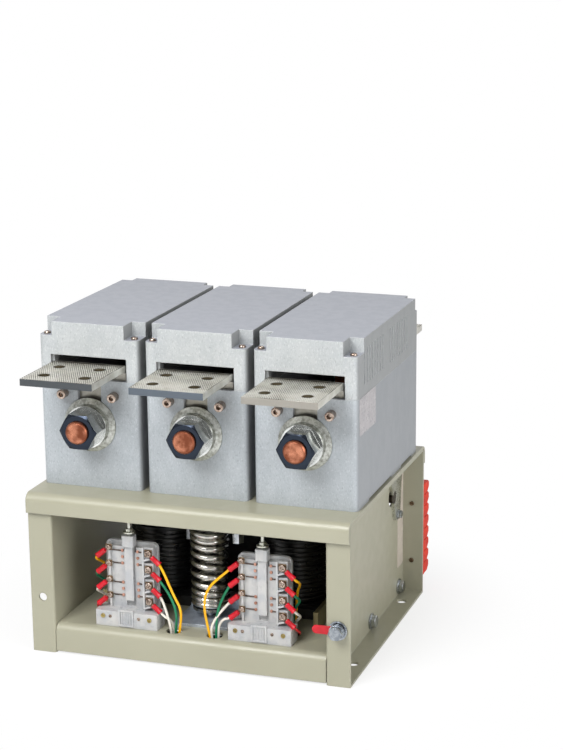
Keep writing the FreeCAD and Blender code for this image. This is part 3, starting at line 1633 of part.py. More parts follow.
foot_outer = size("foot_outer", 26, "outer foot screws from the plunger")
foot_left = size("foot_left", 18, "inner left foot screw from the plunger")
foot_right = size("foot_right", 14, "inner right foot screw from the plunger")
foot_screw_rise = size("foot_screw_rise", 11, "foot screws above the base plate")
foot_inner_head = size("foot_inner_head", 1.8, "radius of an inner foot screw")
seat_half = size("seat_half", 6, "half the height of a terminal seat")
left_head = size("left_head", 2.6, "radius of a left-hand terminal screw")
right_head = size("right_head", 3.4, "radius of a right-hand terminal screw")
screw_dome = size("screw_dome", 2, "height of a terminal screw's head")
lug_thick = size("lug_thick", 1, "tongue of a fork lug")
lug_width = size("lug_width", 4, "tongue of a fork lug")
lug_tongue = size("lug_tongue", 8, "tongue of a fork lug from its screw")
lug_sleeve = size("lug_sleeve", 6.5, "sleeve of a fork lug")
lug_radius = size("lug_radius", 2.2, "sleeve of a fork lug")
lug_turn = size("lug_turn", 40, "how far a fork lug points down, degrees")
window_width = size("window_width", 17, "raised window on the switch base")
window_stand = size("window_stand", 1.2, "raised window ahead of the switch base")
contact_offset = size("contact_offset", 8, "contact rivets from the plunger")
contact_radius = size("contact_radius", 1.5, "contact rivets")
contact_pitch = size("contact_pitch", 7, "between two contact rivets")
contact_stand = size("contact_stand", 1.2, "contact rivets ahead of the panel")
blade_height = size("blade_height", 1, "contact blade")
doc.recompute()
switch_front = front + switch_setback
switch_rear = switch_front + switch_depth + 2
ledge = base_rise + switch_foot
plunger_y = front + plunger_setback
terminal_low = ledge + terminal_rise
terminal_pitch = (switch_top - terminal_margin - terminal_low) / 3
right_rows = [terminal_low + terminal_pitch * row for row in range(4)]
left_rows = [row + terminal_step for row in right_rows]
face = plunger_y + 1
plunger_travel = (shaft_setback - plunger_setback) * open_angle / RADIAN
right_front = face - right_stand
left_front = face - left_stand


def left_comb(x):
    """Stepped row of left-hand terminal seats, each with a pointed barrier below it."""
    inner = x - panel_left
    points = [(inner, ledge), (inner, left_rows[-1] + seat_half - rib_stand)]
    for z in reversed(left_rows):
        points += [
            (x - left_screw - rib_stand, z + seat_half - rib_stand),
            (x - left_screw - 4, z - seat_half / 2),
            (x - left_screw - 8, z - seat_half * 2 / 3),
            (x - left_screw - 1, z - seat_half),
        ]
    points.append((x - left_screw - 1, ledge))
    return padded("left_comb", "XZ_Plane", points, -face - panel_thick, panel_thick + left_stand)


def right_comb(x):
    """Upright rail with slanted barriers between the right-hand terminals."""
    inner = x + panel_right - 2
    outer = x + panel_right
    tip = x + right_screw + 1.5
    points = [(inner, ledge), (inner, right_rows[-1] + seat_half)]
    points.append((outer, right_rows[-1] + seat_half))
    for z in reversed(right_rows):
        low = z - seat_half * 1.5
        points += [
            (outer, low + rib_rise),
            (tip, low + rib_rise * 2),
            (tip, low + rib_rise),
            (outer, low),
        ]
    points.append((outer, ledge))
    length = panel_thick + right_stand + rib_stand
    return padded("right_comb", "XZ_Plane", points, -face - panel_thick, length)


def foot_window(x):
    """Raised window on a switch's foot, with a hollow that four plain bars cross."""
    low = base_rise + window_stand
    tall = switch_foot + window_stand
    frame = middle_block(x, switch_front - window_stand, low, window_width, window_stand * 2, tall)
    wide = window_width - 4
    hollow = middle_block(
        x, switch_front - window_stand, low + 2, wide, window_stand, tall - 4
    )
    bars = []
    for index in range(4):
        left = x - wide / 2 + wide * (index + 0.5) / 4 - window_stand / 2
        bars.append(
            block(left, switch_front - window_stand / 2, low + 2, window_stand, 1, tall - 4)
        )
    return [cut(frame, hollow)] + bars


def aux_switch(label, side):
    """Moulded body of one auxiliary switch, with its foot, terminals and plunger guide."""
    x = switch_pitch * side / 2
    start = switch_rear - switch_wall
    plate = on_base(
        "back",
        middle_block(x, start, ledge, switch_back, switch_wall, switch_top - ledge),
    )
    round_edges(
        plate,
        switch_round,
        lambda edge: runs_along(edge, "y") and close(edge.CenterOfMass.z, switch_top),
    )
    foot = on_base(
        "foot",
        middle_block(x, switch_front, base_rise, switch_width, switch_depth, switch_foot),
    )
    round_edges(foot, window_stand, lambda edge: runs_along(edge, "z"))
    panel = on_base(
        "panel",
        block(
            x - panel_left,
            face,
            ledge,
            panel_left + panel_right,
            panel_thick,
            switch_top - panel_drop - ledge,
        ),
    )
    round_edges(
        panel,
        switch_round / 2,
        lambda edge: runs_along(edge, "y")
        and close(edge.CenterOfMass.z, switch_top - panel_drop),
    )
    behind = face + panel_thick
    core_height = switch_top - switch_step - ledge
    pieces = [
        foot,
        plate,
        panel,
        middle_block(x, behind, ledge, switch_body, start - behind + 1, core_height),
        left_comb(x),
        right_comb(x),
    ]
    pieces += foot_window(x)
    seat_x = x + panel_right
    seat_w = right_screw + 5 - panel_right
    for z in right_rows:
        height = seat_half * 2
        deep = right_stand + panel_thick
        pieces.append(block(seat_x, right_front, z - seat_half, seat_w, deep, height))
    guide = middle_block(
        x,
        plunger_y - plunger_depth / 2 - rest_gap,
        ledge + 2,
        plunger_width + rest_gap * 2,
        plunger_depth + rest_gap * 2,
        core_height + switch_step,
    )
    cap_low = plunger_top - plunger_cap - plunger_travel
    recess = middle_block(
        x,
        plunger_y - cap_ahead - 1,
        cap_low - 1,
        cap_width + rest_gap * 2,
        cap_depth + 1 + rest_gap,
        plunger_cap * 3,
    )
    return node(label, cut(fuse(*pieces), guide, recess))


def aux_plunger(label, side):
    """Sliding bar of one auxiliary switch, with its cap."""
    x = switch_pitch * side / 2
    low = ledge + plunger_travel + 2.5
    bar = middle_block(
        x, plunger_y - plunger_depth / 2, low, plunger_width, plunger_depth, plunger_top - low
    )
    cap = on_base(
        "cap",
        middle_block(
            x, plunger_y - cap_ahead, plunger_top - plunger_cap, cap_width, cap_depth, plunger_cap
        ),
    )
    round_edges(cap, 1.5, lambda edge: runs_along(edge, "z"))
    return node(label, fuse(bar, cap))


def aux_contacts():
    """Contact rivets beside the plungers and the blades that join them to the terminals."""
    pieces = []
    rivet_y = face - contact_stand
    for side in (-1, 1):
        x = switch_pitch * side / 2
        for low in (right_rows[0], right_rows[2]):
            for step in range(3):
                z = low + 2 + contact_pitch * step
                for way in (-1, 1):
                    spot_x = x + contact_offset * way
                    pieces.append(rod("y", spot_x, rivet_y, z, contact_radius, contact_stand))
            for z in (low + 2, low + 2 + contact_pitch * 2):
                near = contact_offset + contact_radius + 0.2
                for way, far in ((-1, panel_left), (1, panel_right - 2.5)):
                    blade_x, width = span(way, near, far)
                    start = z - blade_height / 2
                    pieces.append(
                        block(
                            x + blade_x, rivet_y, start, width, contact_stand, blade_height
                        )
                    )
    return node("aux_contacts", group(*pieces))


def aux_screws():
    """Terminal screws with their clamp plates, and the foot screws, of both switches."""
    screws = []
    for side in (-1, 1):
        x = switch_pitch * side / 2
        for row in range(4):
            spot_x = x + right_screw
            y = right_front - lug_thick - screw_dome
            screws.append(rod("y", spot_x, y, right_rows[row], right_head, screw_dome))
            spot_x = x - left_screw
            y = left_front - lug_thick - screw_dome
            screws.append(rod("y", spot_x, y, left_rows[row], left_head, screw_dome))
        for offset, radius in (
            (-foot_outer, left_head),
            (-foot_left, foot_inner_head),
            (foot_right, foot_inner_head),
            (foot_outer, left_head),
        ):
            y = switch_front - lug_thick
            z = base_rise + foot_screw_rise
            screws.append(rod("y", x + offset, y, z, radius, lug_thick))
    return node("aux_screws", group(*screws))


aux_switch("aux_switch_left", -1)
aux_switch("aux_switch_right", 1)
aux_plunger("aux_plunger_left", -1)
aux_plunger("aux_plunger_right", 1)
aux_contacts()
aux_screws()


def terminal_block():
    """Eight-way terminal block on the rear of the right side frame."""
    y = rear
    z = block_rise
    rail = middle_block(block_x, y, z, block_width, 12, block_height)
    profile = [
        (y + 10, z + 0.4),
        (y + block_depth - 6, z + 0.4),
        (y + block_depth, z + 5),
        (y + block_depth, z + 10),
        (y + block_depth - 4, z + block_pitch - 0.6),
        (y + 10, z + block_pitch - 0.6),
    ]
    flaps = padded("flaps", "YZ_Plane", profile, block_x - block_width / 2, block_width)
    doc.recompute()
    row = flaps.newObject("PartDesign::LinearPattern", "row")
    row.Originals = [flaps.Tip]
    row.Direction = (flaps.Tip.Profile[0], ["V_Axis"])
    bind(row, "Length", block_pitch * (block_poles - 1))
    row.Occurrences = block_poles
    flaps.Tip = row
    holes = [rod("y", block_x, y, place_z, block_screw_radius, 8) for place_z in block_screw_places]
    return node("terminal_block", cut(fuse(rail, flaps), *holes))


def terminal_screws():
    """Screws that hold the terminal block, from the front of the rear flange."""
    screws = []
    for z in block_screw_places:
        screws.append(
            fuse(
                rod("y", block_x, rear - frame_sheet - 2, z, 3.4, 2),
                rod("y", block_x, rear - frame_sheet, z, block_screw_radius, frame_sheet + 7),
            )
        )
    return node("terminal_screws", group(*screws))


terminal_block()
terminal_screws()


def tube(points, radius):
    """A wire along straight runs joined by tangent arcs, as wide as the runs allow."""
    path = []
    last = points[0]
    for before, corner, after in zip(points, points[1:], points[2:]):
        inward = before - corner
        outward = after - corner
        trim = 0.45 * min(inward.Length, outward.Length)
        inward.normalize()
        outward.normalize()
        bulge = inward + outward
        across = (inward - outward).Length / 2
        along = bulge.Length / 2
        start = corner + inward * trim
        end = corner + outward * trim
        bulge.normalize()
        tip = corner + bulge * (trim * (1 - across) / along)
        path.append(Part.LineSegment(last, start).toShape())
        path.append(Part.Arc(start, tip, end).toShape())
        last = end
    path.append(Part.LineSegment(last, points[-1]).toShape())
    section = Part.Wire(Part.Circle(points[0], points[1] - points[0], radius).toShape())
    return Part.Wire(path).makePipeShell([section], True, True)


def spot(x, y, z):
    """A place in space, from sizes or plain numbers."""
    return Vector(number(x), number(y), number(z))


def shaped(label, shapes):
    """A sub-part whose free-form runs are worked out from the sheet."""
    feature = doc.addObject("Part::Feature", label)
    feature.Shape = Part.Compound(shapes)
    return node(label, feature)


def lug_places():
    """Each lug's screw, the way it points, and whether it faces the middle of the frame."""
    places = []
    for side in (-1, 1):
        x = switch_pitch * side / 2
        for row in range(4):
            for way, offset, rows, y in (
                (1, right_screw, right_rows, right_front),
                (-1, left_screw, left_rows, left_front),
            ):
                places.append((side, way, row, x + offset * way, y, rows[row]))
    return places


def wire_lugs():
    """Fork lugs with insulating sleeves on both sides of the switches, pointing down."""
    lugs = []
    half_width = lug_width / 2
    for _side, way, _row, x, y, z in lug_places():
        lug = fuse(
            block(-2, -lug_thick, -half_width, lug_tongue + 3, lug_thick, lug_width),
            rod("x", lug_tongue, -lug_radius, 0, lug_radius, lug_sleeve),
        )
        turn = lug_turn.value if way > 0 else 180 - lug_turn.value
        place(lug, x, y, z)
        lug.Placement = Placement(lug.Placement.Base, Rotation(Vector(0, 1, 0), turn))
        lugs.append(lug)
    return node("wire_lugs", group(*lugs))


wire_low = base_rise - 12
trunk_radius = size("trunk_radius", 5.5, "sleeved trunk of the control wires")
branch_radius = size("branch_radius", 4.5, "sleeved branches of the control wires")
doc.recompute()


def control_wires():
    """Control wires from the switches, down through the wire holes of the base plate."""
    radius = number(wire_radius)
    reach = number(lug_tongue + lug_sleeve)
    wires = []
    for side, way, row, x, y, z in lug_places():
        slope = math.radians(lug_turn.value)
        heading = Vector(way * math.cos(slope), 0, -math.sin(slope))
        start = spot(x, y - lug_radius, z) + heading * reach
        spread = 1.8 * (row - 1.5)
        deep = 1.5 if row % 2 else -1.5
        low = base_rise + 5 + 8 * row
        if side == way:
            end = outer_hole_offset * side + spread
            end_y = front + outer_hole_setback + deep
            path = [
                start,
                start + heading * 6,
                spot(end + side * 16, end_y - 8, low + 2),
                spot(end, end_y, base_rise + 4),
                spot(end, end_y, wire_low),
            ]
        else:
            end = wire_hole_span * side / 2 + spread
            end_y = front + wire_hole_setback + deep
            path = [
                start,
                start + heading * 5,
                spot(end, end_y, low),
                spot(end, end_y, wire_low),
            ]
        wires.append(tube(path, radius))
    return wires


def sleeve():
    """Sleeved branches under the base plate, joined to one trunk that ends at the block."""
    run = number(harness_rise)
    thick = number(branch_radius)
    trunk_y = front + outer_hole_setback
    branches = []
    for side in (-1, 1):
        x = wire_hole_span * side / 2
        y = front + wire_hole_setback
        turn = [spot(x, y, wire_low), spot(x, y, run), spot(x, trunk_y, run)]
        branches.append(tube(turn, thick))
    x = -outer_hole_offset
    turn = [spot(x, trunk_y, wire_low), spot(x, trunk_y, run), spot(-60, trunk_y, run)]
    branches.append(tube(turn, thick))
    x = outer_hole_offset
    turn = [spot(x, trunk_y, wire_low), spot(x, trunk_y, run), spot(x, trunk_y + 40, run)]
    branches.append(tube(turn, thick))
    riser = block_x - block_width / 2 - trunk_radius - rest_gap
    behind = rear + 14
    trunk = tube(
        [
            spot(-60, trunk_y, run),
            spot(60, trunk_y, run),
            spot(harness_offset, trunk_y + 60, run),
            spot(harness_offset, behind, run),
            spot(riser, behind, run + 20),
            spot(riser, behind, block_rise + block_height),
        ],
        number(trunk_radius),
    )
    for way in range(block_poles):
        z = number(block_rise + block_pitch * (way + 0.5))
        root = spot(riser, behind, z)
        length = number(trunk_radius + rest_gap)
        branches.append(Part.makeCylinder(number(wire_radius), length, root, Vector(1, 0, 0)))
    return trunk.fuse(branches).removeSplitter()


wire_lugs()
shaped("control_wires", control_wires() + [sleeve()])

doc.recompute()
problems = []
for thing in doc.Objects:
    if "Invalid" in thing.State or "Error" in thing.State:
        problems.append(thing.Name + " " + str(thing.State))
for label, piece in nodes.items():
    if piece.Shape.isNull() or not piece.Shape.isValid():
        problems.append(label + " has no valid shape")
if problems:
    raise RuntimeError("; ".join(problems))
os.makedirs("parts", exist_ok=True)
for label, piece in nodes.items():
    piece.Shape.exportStep("parts/" + label + ".step")
print(len(nodes), "sub-parts")
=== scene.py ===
"""Looks of a three-pole vacuum contactor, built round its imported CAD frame.

The CAD nodes keep their shapes and get procedural finishes here. What needs a finer
form is built again in its own class: busbar knurling, springs, flexible links, screw
heads, contacts, lugs and wires.
"""

from __future__ import annotations

import json
import logging
import math
import random
from dataclasses import dataclass
from enum import Enum

import bmesh
import bpy
from mathutils import Euler, Matrix, Vector

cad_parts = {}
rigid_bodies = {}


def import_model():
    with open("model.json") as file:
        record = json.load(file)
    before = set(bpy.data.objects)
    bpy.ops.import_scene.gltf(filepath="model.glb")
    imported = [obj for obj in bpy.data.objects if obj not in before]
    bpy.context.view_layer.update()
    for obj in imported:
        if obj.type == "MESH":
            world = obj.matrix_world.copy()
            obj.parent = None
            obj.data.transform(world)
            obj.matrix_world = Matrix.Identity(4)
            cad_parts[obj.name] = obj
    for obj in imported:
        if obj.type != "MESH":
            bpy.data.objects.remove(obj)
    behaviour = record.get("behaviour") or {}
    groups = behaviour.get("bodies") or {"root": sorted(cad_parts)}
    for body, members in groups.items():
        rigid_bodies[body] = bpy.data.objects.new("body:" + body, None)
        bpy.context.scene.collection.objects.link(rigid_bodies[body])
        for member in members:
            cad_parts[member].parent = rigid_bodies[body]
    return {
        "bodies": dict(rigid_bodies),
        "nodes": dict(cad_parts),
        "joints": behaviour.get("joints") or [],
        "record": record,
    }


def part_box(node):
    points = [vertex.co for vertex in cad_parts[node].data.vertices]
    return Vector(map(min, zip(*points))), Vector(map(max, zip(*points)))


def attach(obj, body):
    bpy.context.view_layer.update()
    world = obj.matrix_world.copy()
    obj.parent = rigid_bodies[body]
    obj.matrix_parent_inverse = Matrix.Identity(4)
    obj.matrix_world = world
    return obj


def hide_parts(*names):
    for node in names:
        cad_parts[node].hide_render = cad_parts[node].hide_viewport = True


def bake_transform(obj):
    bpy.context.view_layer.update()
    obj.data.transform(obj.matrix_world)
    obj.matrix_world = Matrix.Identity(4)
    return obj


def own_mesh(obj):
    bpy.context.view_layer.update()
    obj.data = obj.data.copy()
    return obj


LOG = logging.getLogger("contactor")
MM = 0.001
Colour = tuple[float, float, float]
Socket = bpy.types.NodeSocket
Mesh = bpy.types.Mesh
Box = tuple[Vector, Vector]

# Parts of a noise's range that are spread over a tone: most of it, and its upper patches.
BAND = (0.3, 0.7)
PATCHES = (0.35, 0.70)
# Heights in metres that the fine skins of paint, moulding and metal stand proud by.
SKIN = 0.0002
MARK = 0.0001
# Angle in degrees past which an edge stays sharp, and distance within which points are one.
CREASE = 35.0
DOUBLES = 1e-6


def rgb(red: int, green: int, blue: int) -> Colour:
    """Linear colour of a colour given in screen steps of 0 to 255."""
    return tuple(pow(step / 255.0, 2.2) for step in (red, green, blue))


def halfway(low: Vector, high: Vector) -> Vector:
    """The point half-way between two corners."""
    return (low + high) / 2


class Body(str, Enum):
    """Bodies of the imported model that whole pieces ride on."""

    FRAME = "frame"
    STEM_1 = "stem_1"
    STEM_2 = "stem_2"
    STEM_3 = "stem_3"


class Tree:
    """A node tree, with one call that adds a node, sets it and links it."""

    prefix = "ShaderNode"

    def __init__(self, tree: bpy.types.NodeTree) -> None:
        """Keeps the tree."""
        self.tree = tree

    def feed(self, socket: Socket, value: object) -> None:
        """Links a socket to another one, or sets its own value."""
        if isinstance(value, Socket):
            self.tree.links.new(value, socket)
        elif isinstance(value, tuple) and len(value) == 3 and socket.type == "RGBA":
            socket.default_value = (*value, 1.0)
        else:
            socket.default_value = value

    def node(self, kind: str, feeds: dict, output: object = 0, **options: object) -> Socket:
        """Adds a node.

        Args:
            kind: Type of the node, without the tree's own prefix.
            feeds: Values or sockets by input name or number.
            output: Name or number of the output that is wanted.
            options: Settings of the node itself.

        Returns:
            The output socket.
        """
        whole = kind.startswith(("Shader", "Function"))
        node = self.tree.nodes.new(kind if whole else self.prefix + kind)
        for key, value in options.items():
            setattr(node, key, value)
        for key, value in feeds.items():
            self.feed(node.inputs[key], value)
        return node.outputs[output]

    def work(self, kind: str, *values: object) -> Socket:
        """Arithmetic on one to three values, such as ADD, MULTIPLY or WRAP."""
        return self.node("ShaderNodeMath", dict(enumerate(values)), operation=kind)

    def ramp(
        self, value: Socket, low: float, high: float, start: float = 0.0, end: float = 1.0
    ) -> Socket:
        """Stretches the range low to high of a value over start to end, smoothly."""
        feeds = {
            "Value": value,
            "From Min": low,
            "From Max": high,
            "To Min": start,
            "To Max": end,
        }
        return self.node("ShaderNodeMapRange", feeds, "Result", interpolation_type="SMOOTHSTEP")


class Graph(Tree):
    """A material's node tree, with short calls for the patterns that the finishes use."""

    def __init__(self, name: str) -> None:
        """Starts a material with one Principled shader.

        Args:
            name: Name of the material.
        """
        self.material = bpy.data.materials.new(name)
        self.material.use_nodes = True
        super().__init__(self.material.node_tree)
        self.tree.nodes.clear()
        self.output = self.tree.nodes.new("ShaderNodeOutputMaterial")
        self.shader = self.tree.nodes.new("ShaderNodeBsdfPrincipled")
        self.feed(self.output.inputs["Surface"], self.shader.outputs["BSDF"])
        self.place = self.node("TexCoord", {}, "Object")

    def set(self, **values: object) -> None:
        """Feeds sockets of the Principled shader, named with underscores for spaces."""
        for name, value in values.items():
            self.feed(self.shader.inputs[name.replace("_", " ")], value)

    def stretched(self, scale: tuple[float, float, float]) -> Socket:
        """Object coordinates with each axis scaled by itself."""
        return self.node("Mapping", {"Vector": self.place, "Scale": scale}, "Vector")

    def axis(self, letter: str) -> Socket:
        """One of the object coordinates, X, Y or Z."""
        return self.node("SeparateXYZ", {"Vector": self.place}, letter)

    def facing(self, letter: str) -> Socket:
        """One component of the surface's own normal."""
        normal = self.node("NewGeometry", {}, "True Normal")
        return self.node("SeparateXYZ", {"Vector": normal}, letter)

    def across(self, pitch: float) -> Socket:
        """The X distance from the middle of the nearest pole."""
        return self.work("WRAP", self.axis("X"), pitch / 2, -pitch / 2)

    def off(self, value: Socket, centre: float) -> Socket:
        """How far a value is from a centre, to either side."""
        return self.work("ABSOLUTE", self.work("SUBTRACT", value, centre))

    def square(self, first: Socket, second: Socket) -> Socket:
        """The sum of the squares of two values."""
        return self.work("ADD", self.work("POWER", first, 2.0), self.work("POWER", second, 2.0))

    def noise(
        self, scale: float, detail: float = 3.0, rough: float = 0.5, where: Socket | None = None
    ) -> Socket:
        """Noise from 0 to 1.

        Args:
            scale: Cells per metre.
            detail: Octaves of finer noise.
            rough: Weight of the finer noise.
            where: Coordinates, or None for plain object coordinates.

        Returns:
            The noise's factor socket.
        """
        feeds = {
            "Vector": where or self.place,
            "Scale": scale,
            "Detail": detail,
            "Roughness": rough,
        }
        return self.node("TexNoise", feeds, "Fac")

    def mix(self, share: object, first: object, second: object) -> Socket:
        """Blends two colours by a share."""
        return self.node("Mix", {0: share, 6: first, 7: second}, 2, data_type="RGBA")

    def tint(self, base: object, colour: object, share: object, amount: object) -> Socket:
        """Lays a colour over a base by the product of a share and an amount."""
        return self.mix(self.work("MULTIPLY", share, amount), base, colour)

    def softened(self, radius: float) -> Socket:
        """The normal of edges that are rounded to a radius in metres."""
        return self.node("Bevel", {"Radius": radius}, "Normal", samples=4)

    def edges(self, radius: float) -> Socket:
        """A share that is high along sharp edges, within a radius in metres."""
        normal = self.node("NewGeometry", {}, "True Normal")
        feeds = {0: self.softened(radius), 1: normal}
        level = self.node("VectorMath", feeds, "Value", operation="DOT_PRODUCT")
        return self.ramp(level, 0.97, 0.80)

    def bump(self, height: Socket, strength: float, depth: float, radius: float) -> None:
        """Raises the surface by a height pattern.

        Args:
            height: The pattern, 0 to 1.
            strength: How strongly it shows.
            depth: Its height in metres.
            radius: Rounding in metres of the edges under it.
        """
        feeds = {
            "Height": height,
            "Strength": strength,
            "Distance": depth,
            "Normal": self.softened(radius),
        }
        self.set(Normal=self.node("Bump", feeds, "Normal"))

    def gloss(self, pattern: Socket, rough: float, less: float, more: float) -> None:
        """Varies the roughness over a pattern, between two shares of its usual value."""
        self.set(Roughness=self.ramp(pattern, *BAND, rough * less, rough * more))


@dataclass(frozen=True)
class SheetPaint:
    """Satin paint on folded sheet, with a faint orange peel, slow drift of tone and a painted highlight
    along its edges.
    """

    colour: Colour
    drift: Colour
    # The edge colour is a painted highlight along sharp edges.
    edge: Colour
    rough: float = 0.34
    drift_cell: float = 9.0
    peel_cell: float = 900.0
    edge_highlight_share: float = 0.5

    def build(self, name: str) -> bpy.types.Material:
        """Makes the material."""
        graph = Graph(name)
        tone = graph.ramp(graph.noise(self.drift_cell, 2.0), *BAND)
        base = graph.mix(tone, self.colour, self.drift)
        # Painted highlight: a lighter colour laid along the sharp edges.
        graph.set(Base_Color=graph.tint(base, self.edge, graph.edges(0.001), self.edge_highlight_share))
        rough = graph.ramp(graph.noise(60.0), *BAND, self.rough - 0.05, self.rough + 0.06)
        graph.set(Roughness=rough)
        graph.bump(graph.noise(self.peel_cell, 2.0, 0.4), 0.05, SKIN, 0.0012)
        return graph.material


@dataclass(frozen=True)
class SpeckledMoulding:
    """Glass-filled moulding compound: a grey ground with fine light and dark flecks, painted shade on its
    top and side faces and a painted highlight along its edges.
    """

    ground: Colour
    light: Colour
    dark: Colour
    # The top and side colours are painted shade on faces that point up and sideways, darker than the
    # fronts for how the light falls.
    top: Colour
    side: Colour
    # The edge colour is a painted highlight along sharp edges.
    edge: Colour
    rough: float = 0.40
    corner: float = 0.0012
    turned: tuple[float, float] = (0.6, 0.95)

    def build(self, name: str) -> bpy.types.Material:
        """Makes the material."""
        graph = Graph(name)
        flow = graph.stretched((1.0, 1.0, 0.45))
        cloud = graph.ramp(graph.noise(90.0, 4.0, 0.62, flow), 0.34, 0.68)
        fleck = graph.ramp(graph.noise(640.0, 3.0, 0.7, flow), 0.52, 0.68)
        pit = graph.ramp(graph.noise(820.0, 3.0, 0.7, flow), 0.54, 0.68)
        # Shares of painted shade on faces that point up and on faces that point sideways.
        upward = graph.ramp(graph.facing("Z"), *self.turned)
        side_shade_share = graph.ramp(graph.work("ABSOLUTE", graph.facing("X")), *self.turned)
        base = self.ground
        for colour, share, amount in (
            (self.light, cloud, 0.25),
            (self.light, fleck, 0.75),
            (self.dark, pit, 0.50),
            # Painted shade on the tops and on the sides.
            (self.top, upward, 0.85),
            (self.side, side_shade_share, 0.85),
            # Painted highlight along sharp edges.
            (self.edge, graph.edges(self.corner), 0.55),
        ):
            base = graph.tint(base, colour, share, amount)
        graph.set(Base_Color=base)
        graph.set(Roughness=graph.ramp(cloud, 0.0, 1.0, self.rough, self.rough + 0.10))
        graph.bump(graph.noise(700.0, 2.0), 0.06, SKIN, self.corner)
        return graph.material


@dataclass(frozen=True)
class PlatedMetal:
    """Plated or bare metal with a cloudy plating tone and light handling marks."""

    colour: Colour
    cloud: Colour
    rough: float = 0.25
    metal: float = 1.0
    cell: float = 110.0
    # The end colour is a painted dark reflection, laid on end faces that face forward and lie ahead of a
    # given Y.
    end: Colour | None = None
    painted_reflection_before: float = 0.0

    def build(self, name: str) -> bpy.types.Material:
        """Makes the material, with a painted dark reflection on end faces that face forward and are far
        enough ahead.
        """
        graph = Graph(name)
        patch = graph.ramp(graph.noise(self.cell, 4.0, 0.6), *PATCHES)
        base = graph.mix(patch, self.colour, self.cloud)
        # Painted dark reflection on the end faces that face forward.
        if self.end is not None:
            forward = graph.ramp(graph.facing("Y"), -0.4, -0.6)
            ahead = graph.work("LESS_THAN", graph.axis("Y"), self.painted_reflection_before)
            base = graph.tint(base, self.end, forward, ahead)
        graph.set(Base_Color=base, Metallic=self.metal)
        marks = graph.noise(self.cell * 7, 3.0, 0.6)
        graph.gloss(marks, self.rough, 0.8, 1.3)
        graph.bump(marks, 0.06, MARK, 0.0005)
        return graph.material


@dataclass(frozen=True)
class TinnedBar:
    """Tinned bar with its own tone on the front edge of each pole, painted shadow on faces that face
    forward, and painted shade in its bolt holes and in the grooves where it is knurled.
    """

    colour: Colour
    cloud: Colour
    fronts: tuple[Colour, Colour, Colour]
    painted_shade: Colour
    bore_shade: Colour
    pitch: float = 117 * MM
    middle: float = 300.75 * MM
    offset: float = 3.75 * MM
    half_thick: float = 3.5 * MM
    knurl: float = 0.38 * MM
    tip: float = -188 * MM
    hole_across: float = 22 * MM
    hole_along: float = 152 * MM
    hole_pitch: float = 17.5 * MM
    hole_radius: float = 6 * MM
    rough: float = 0.38

    def hole(self, graph: Graph) -> Socket:
        """One inside the bolt holes of every tongue, front and rear, and zero elsewhere."""
        across = graph.work("ABSOLUTE", graph.across(self.pitch))
        across = graph.work("SUBTRACT", across, self.hole_across)
        along = graph.off(graph.work("ABSOLUTE", graph.axis("Y")), self.hole_along)
        along = graph.work("SUBTRACT", along, self.hole_pitch)
        return graph.work("LESS_THAN", graph.square(across, along), self.hole_radius**2)

    def front(self, graph: Graph) -> Socket:
        """Colour of the front edge, which is another one on each pole."""
        side = graph.axis("X")
        half = self.pitch / 2
        blend = 1 * MM
        left, centre, right = self.fronts
        edge = graph.mix(graph.ramp(side, -half - blend, -half + blend), left, centre)
        return graph.mix(graph.ramp(side, half - blend, half + blend), edge, right)

    def groove_shade(self, graph: Graph) -> tuple[Socket, Socket]:
        """How deep in the knurling a point is, and whether it is on the outside of the bar."""
        level = graph.off(graph.off(graph.axis("Z"), self.middle), self.offset)
        crest = graph.ramp(
            level, self.half_thick + self.knurl * 0.1, self.half_thick + self.knurl * 0.5
        )
        outside = graph.ramp(level, self.half_thick - 0.02 * MM, self.half_thick - 0.01 * MM)
        # Patchy strength of the painted shade in the grooves.
        wear_and_shade_patches = graph.ramp(graph.noise(24.0, 2.0), 0.38, 0.60, 0.30, 1.0)
        return graph.work("MULTIPLY", graph.work("SUBTRACT", 1.0, crest), wear_and_shade_patches), outside

    def build(self, name: str) -> bpy.types.Material:
        """Makes the material."""
        graph = Graph(name)
        patch = graph.ramp(graph.noise(70.0, 4.0, 0.6), *PATCHES)
        base = graph.mix(patch, self.colour, self.cloud)
        forward = graph.ramp(graph.facing("Y"), -0.9, -0.97)
        ahead = graph.work("LESS_THAN", graph.axis("Y"), self.tip)
        # Painted shadow: faces that face forward are darkened, as the leg under each tongue lies in the
        # tongue's shadow.
        base = graph.tint(base, self.painted_shade, forward, 0.7)
        # The front edge past the tip gets its own tone on each pole.
        base = graph.tint(base, self.front(graph), forward, ahead)
        # Painted shade inside the bolt holes.
        base = graph.mix(self.hole(graph), base, self.bore_shade)
        # Painted shade in the knurling's grooves.
        base = graph.tint(base, self.painted_shade, *self.groove_shade(graph))
        graph.set(Base_Color=base, Metallic=0.9)
        marks = graph.noise(500.0, 3.0, 0.6)
        graph.gloss(marks, self.rough, 0.8, 1.2)
        graph.bump(marks, 0.05, MARK, 0.0004)
        return graph.material


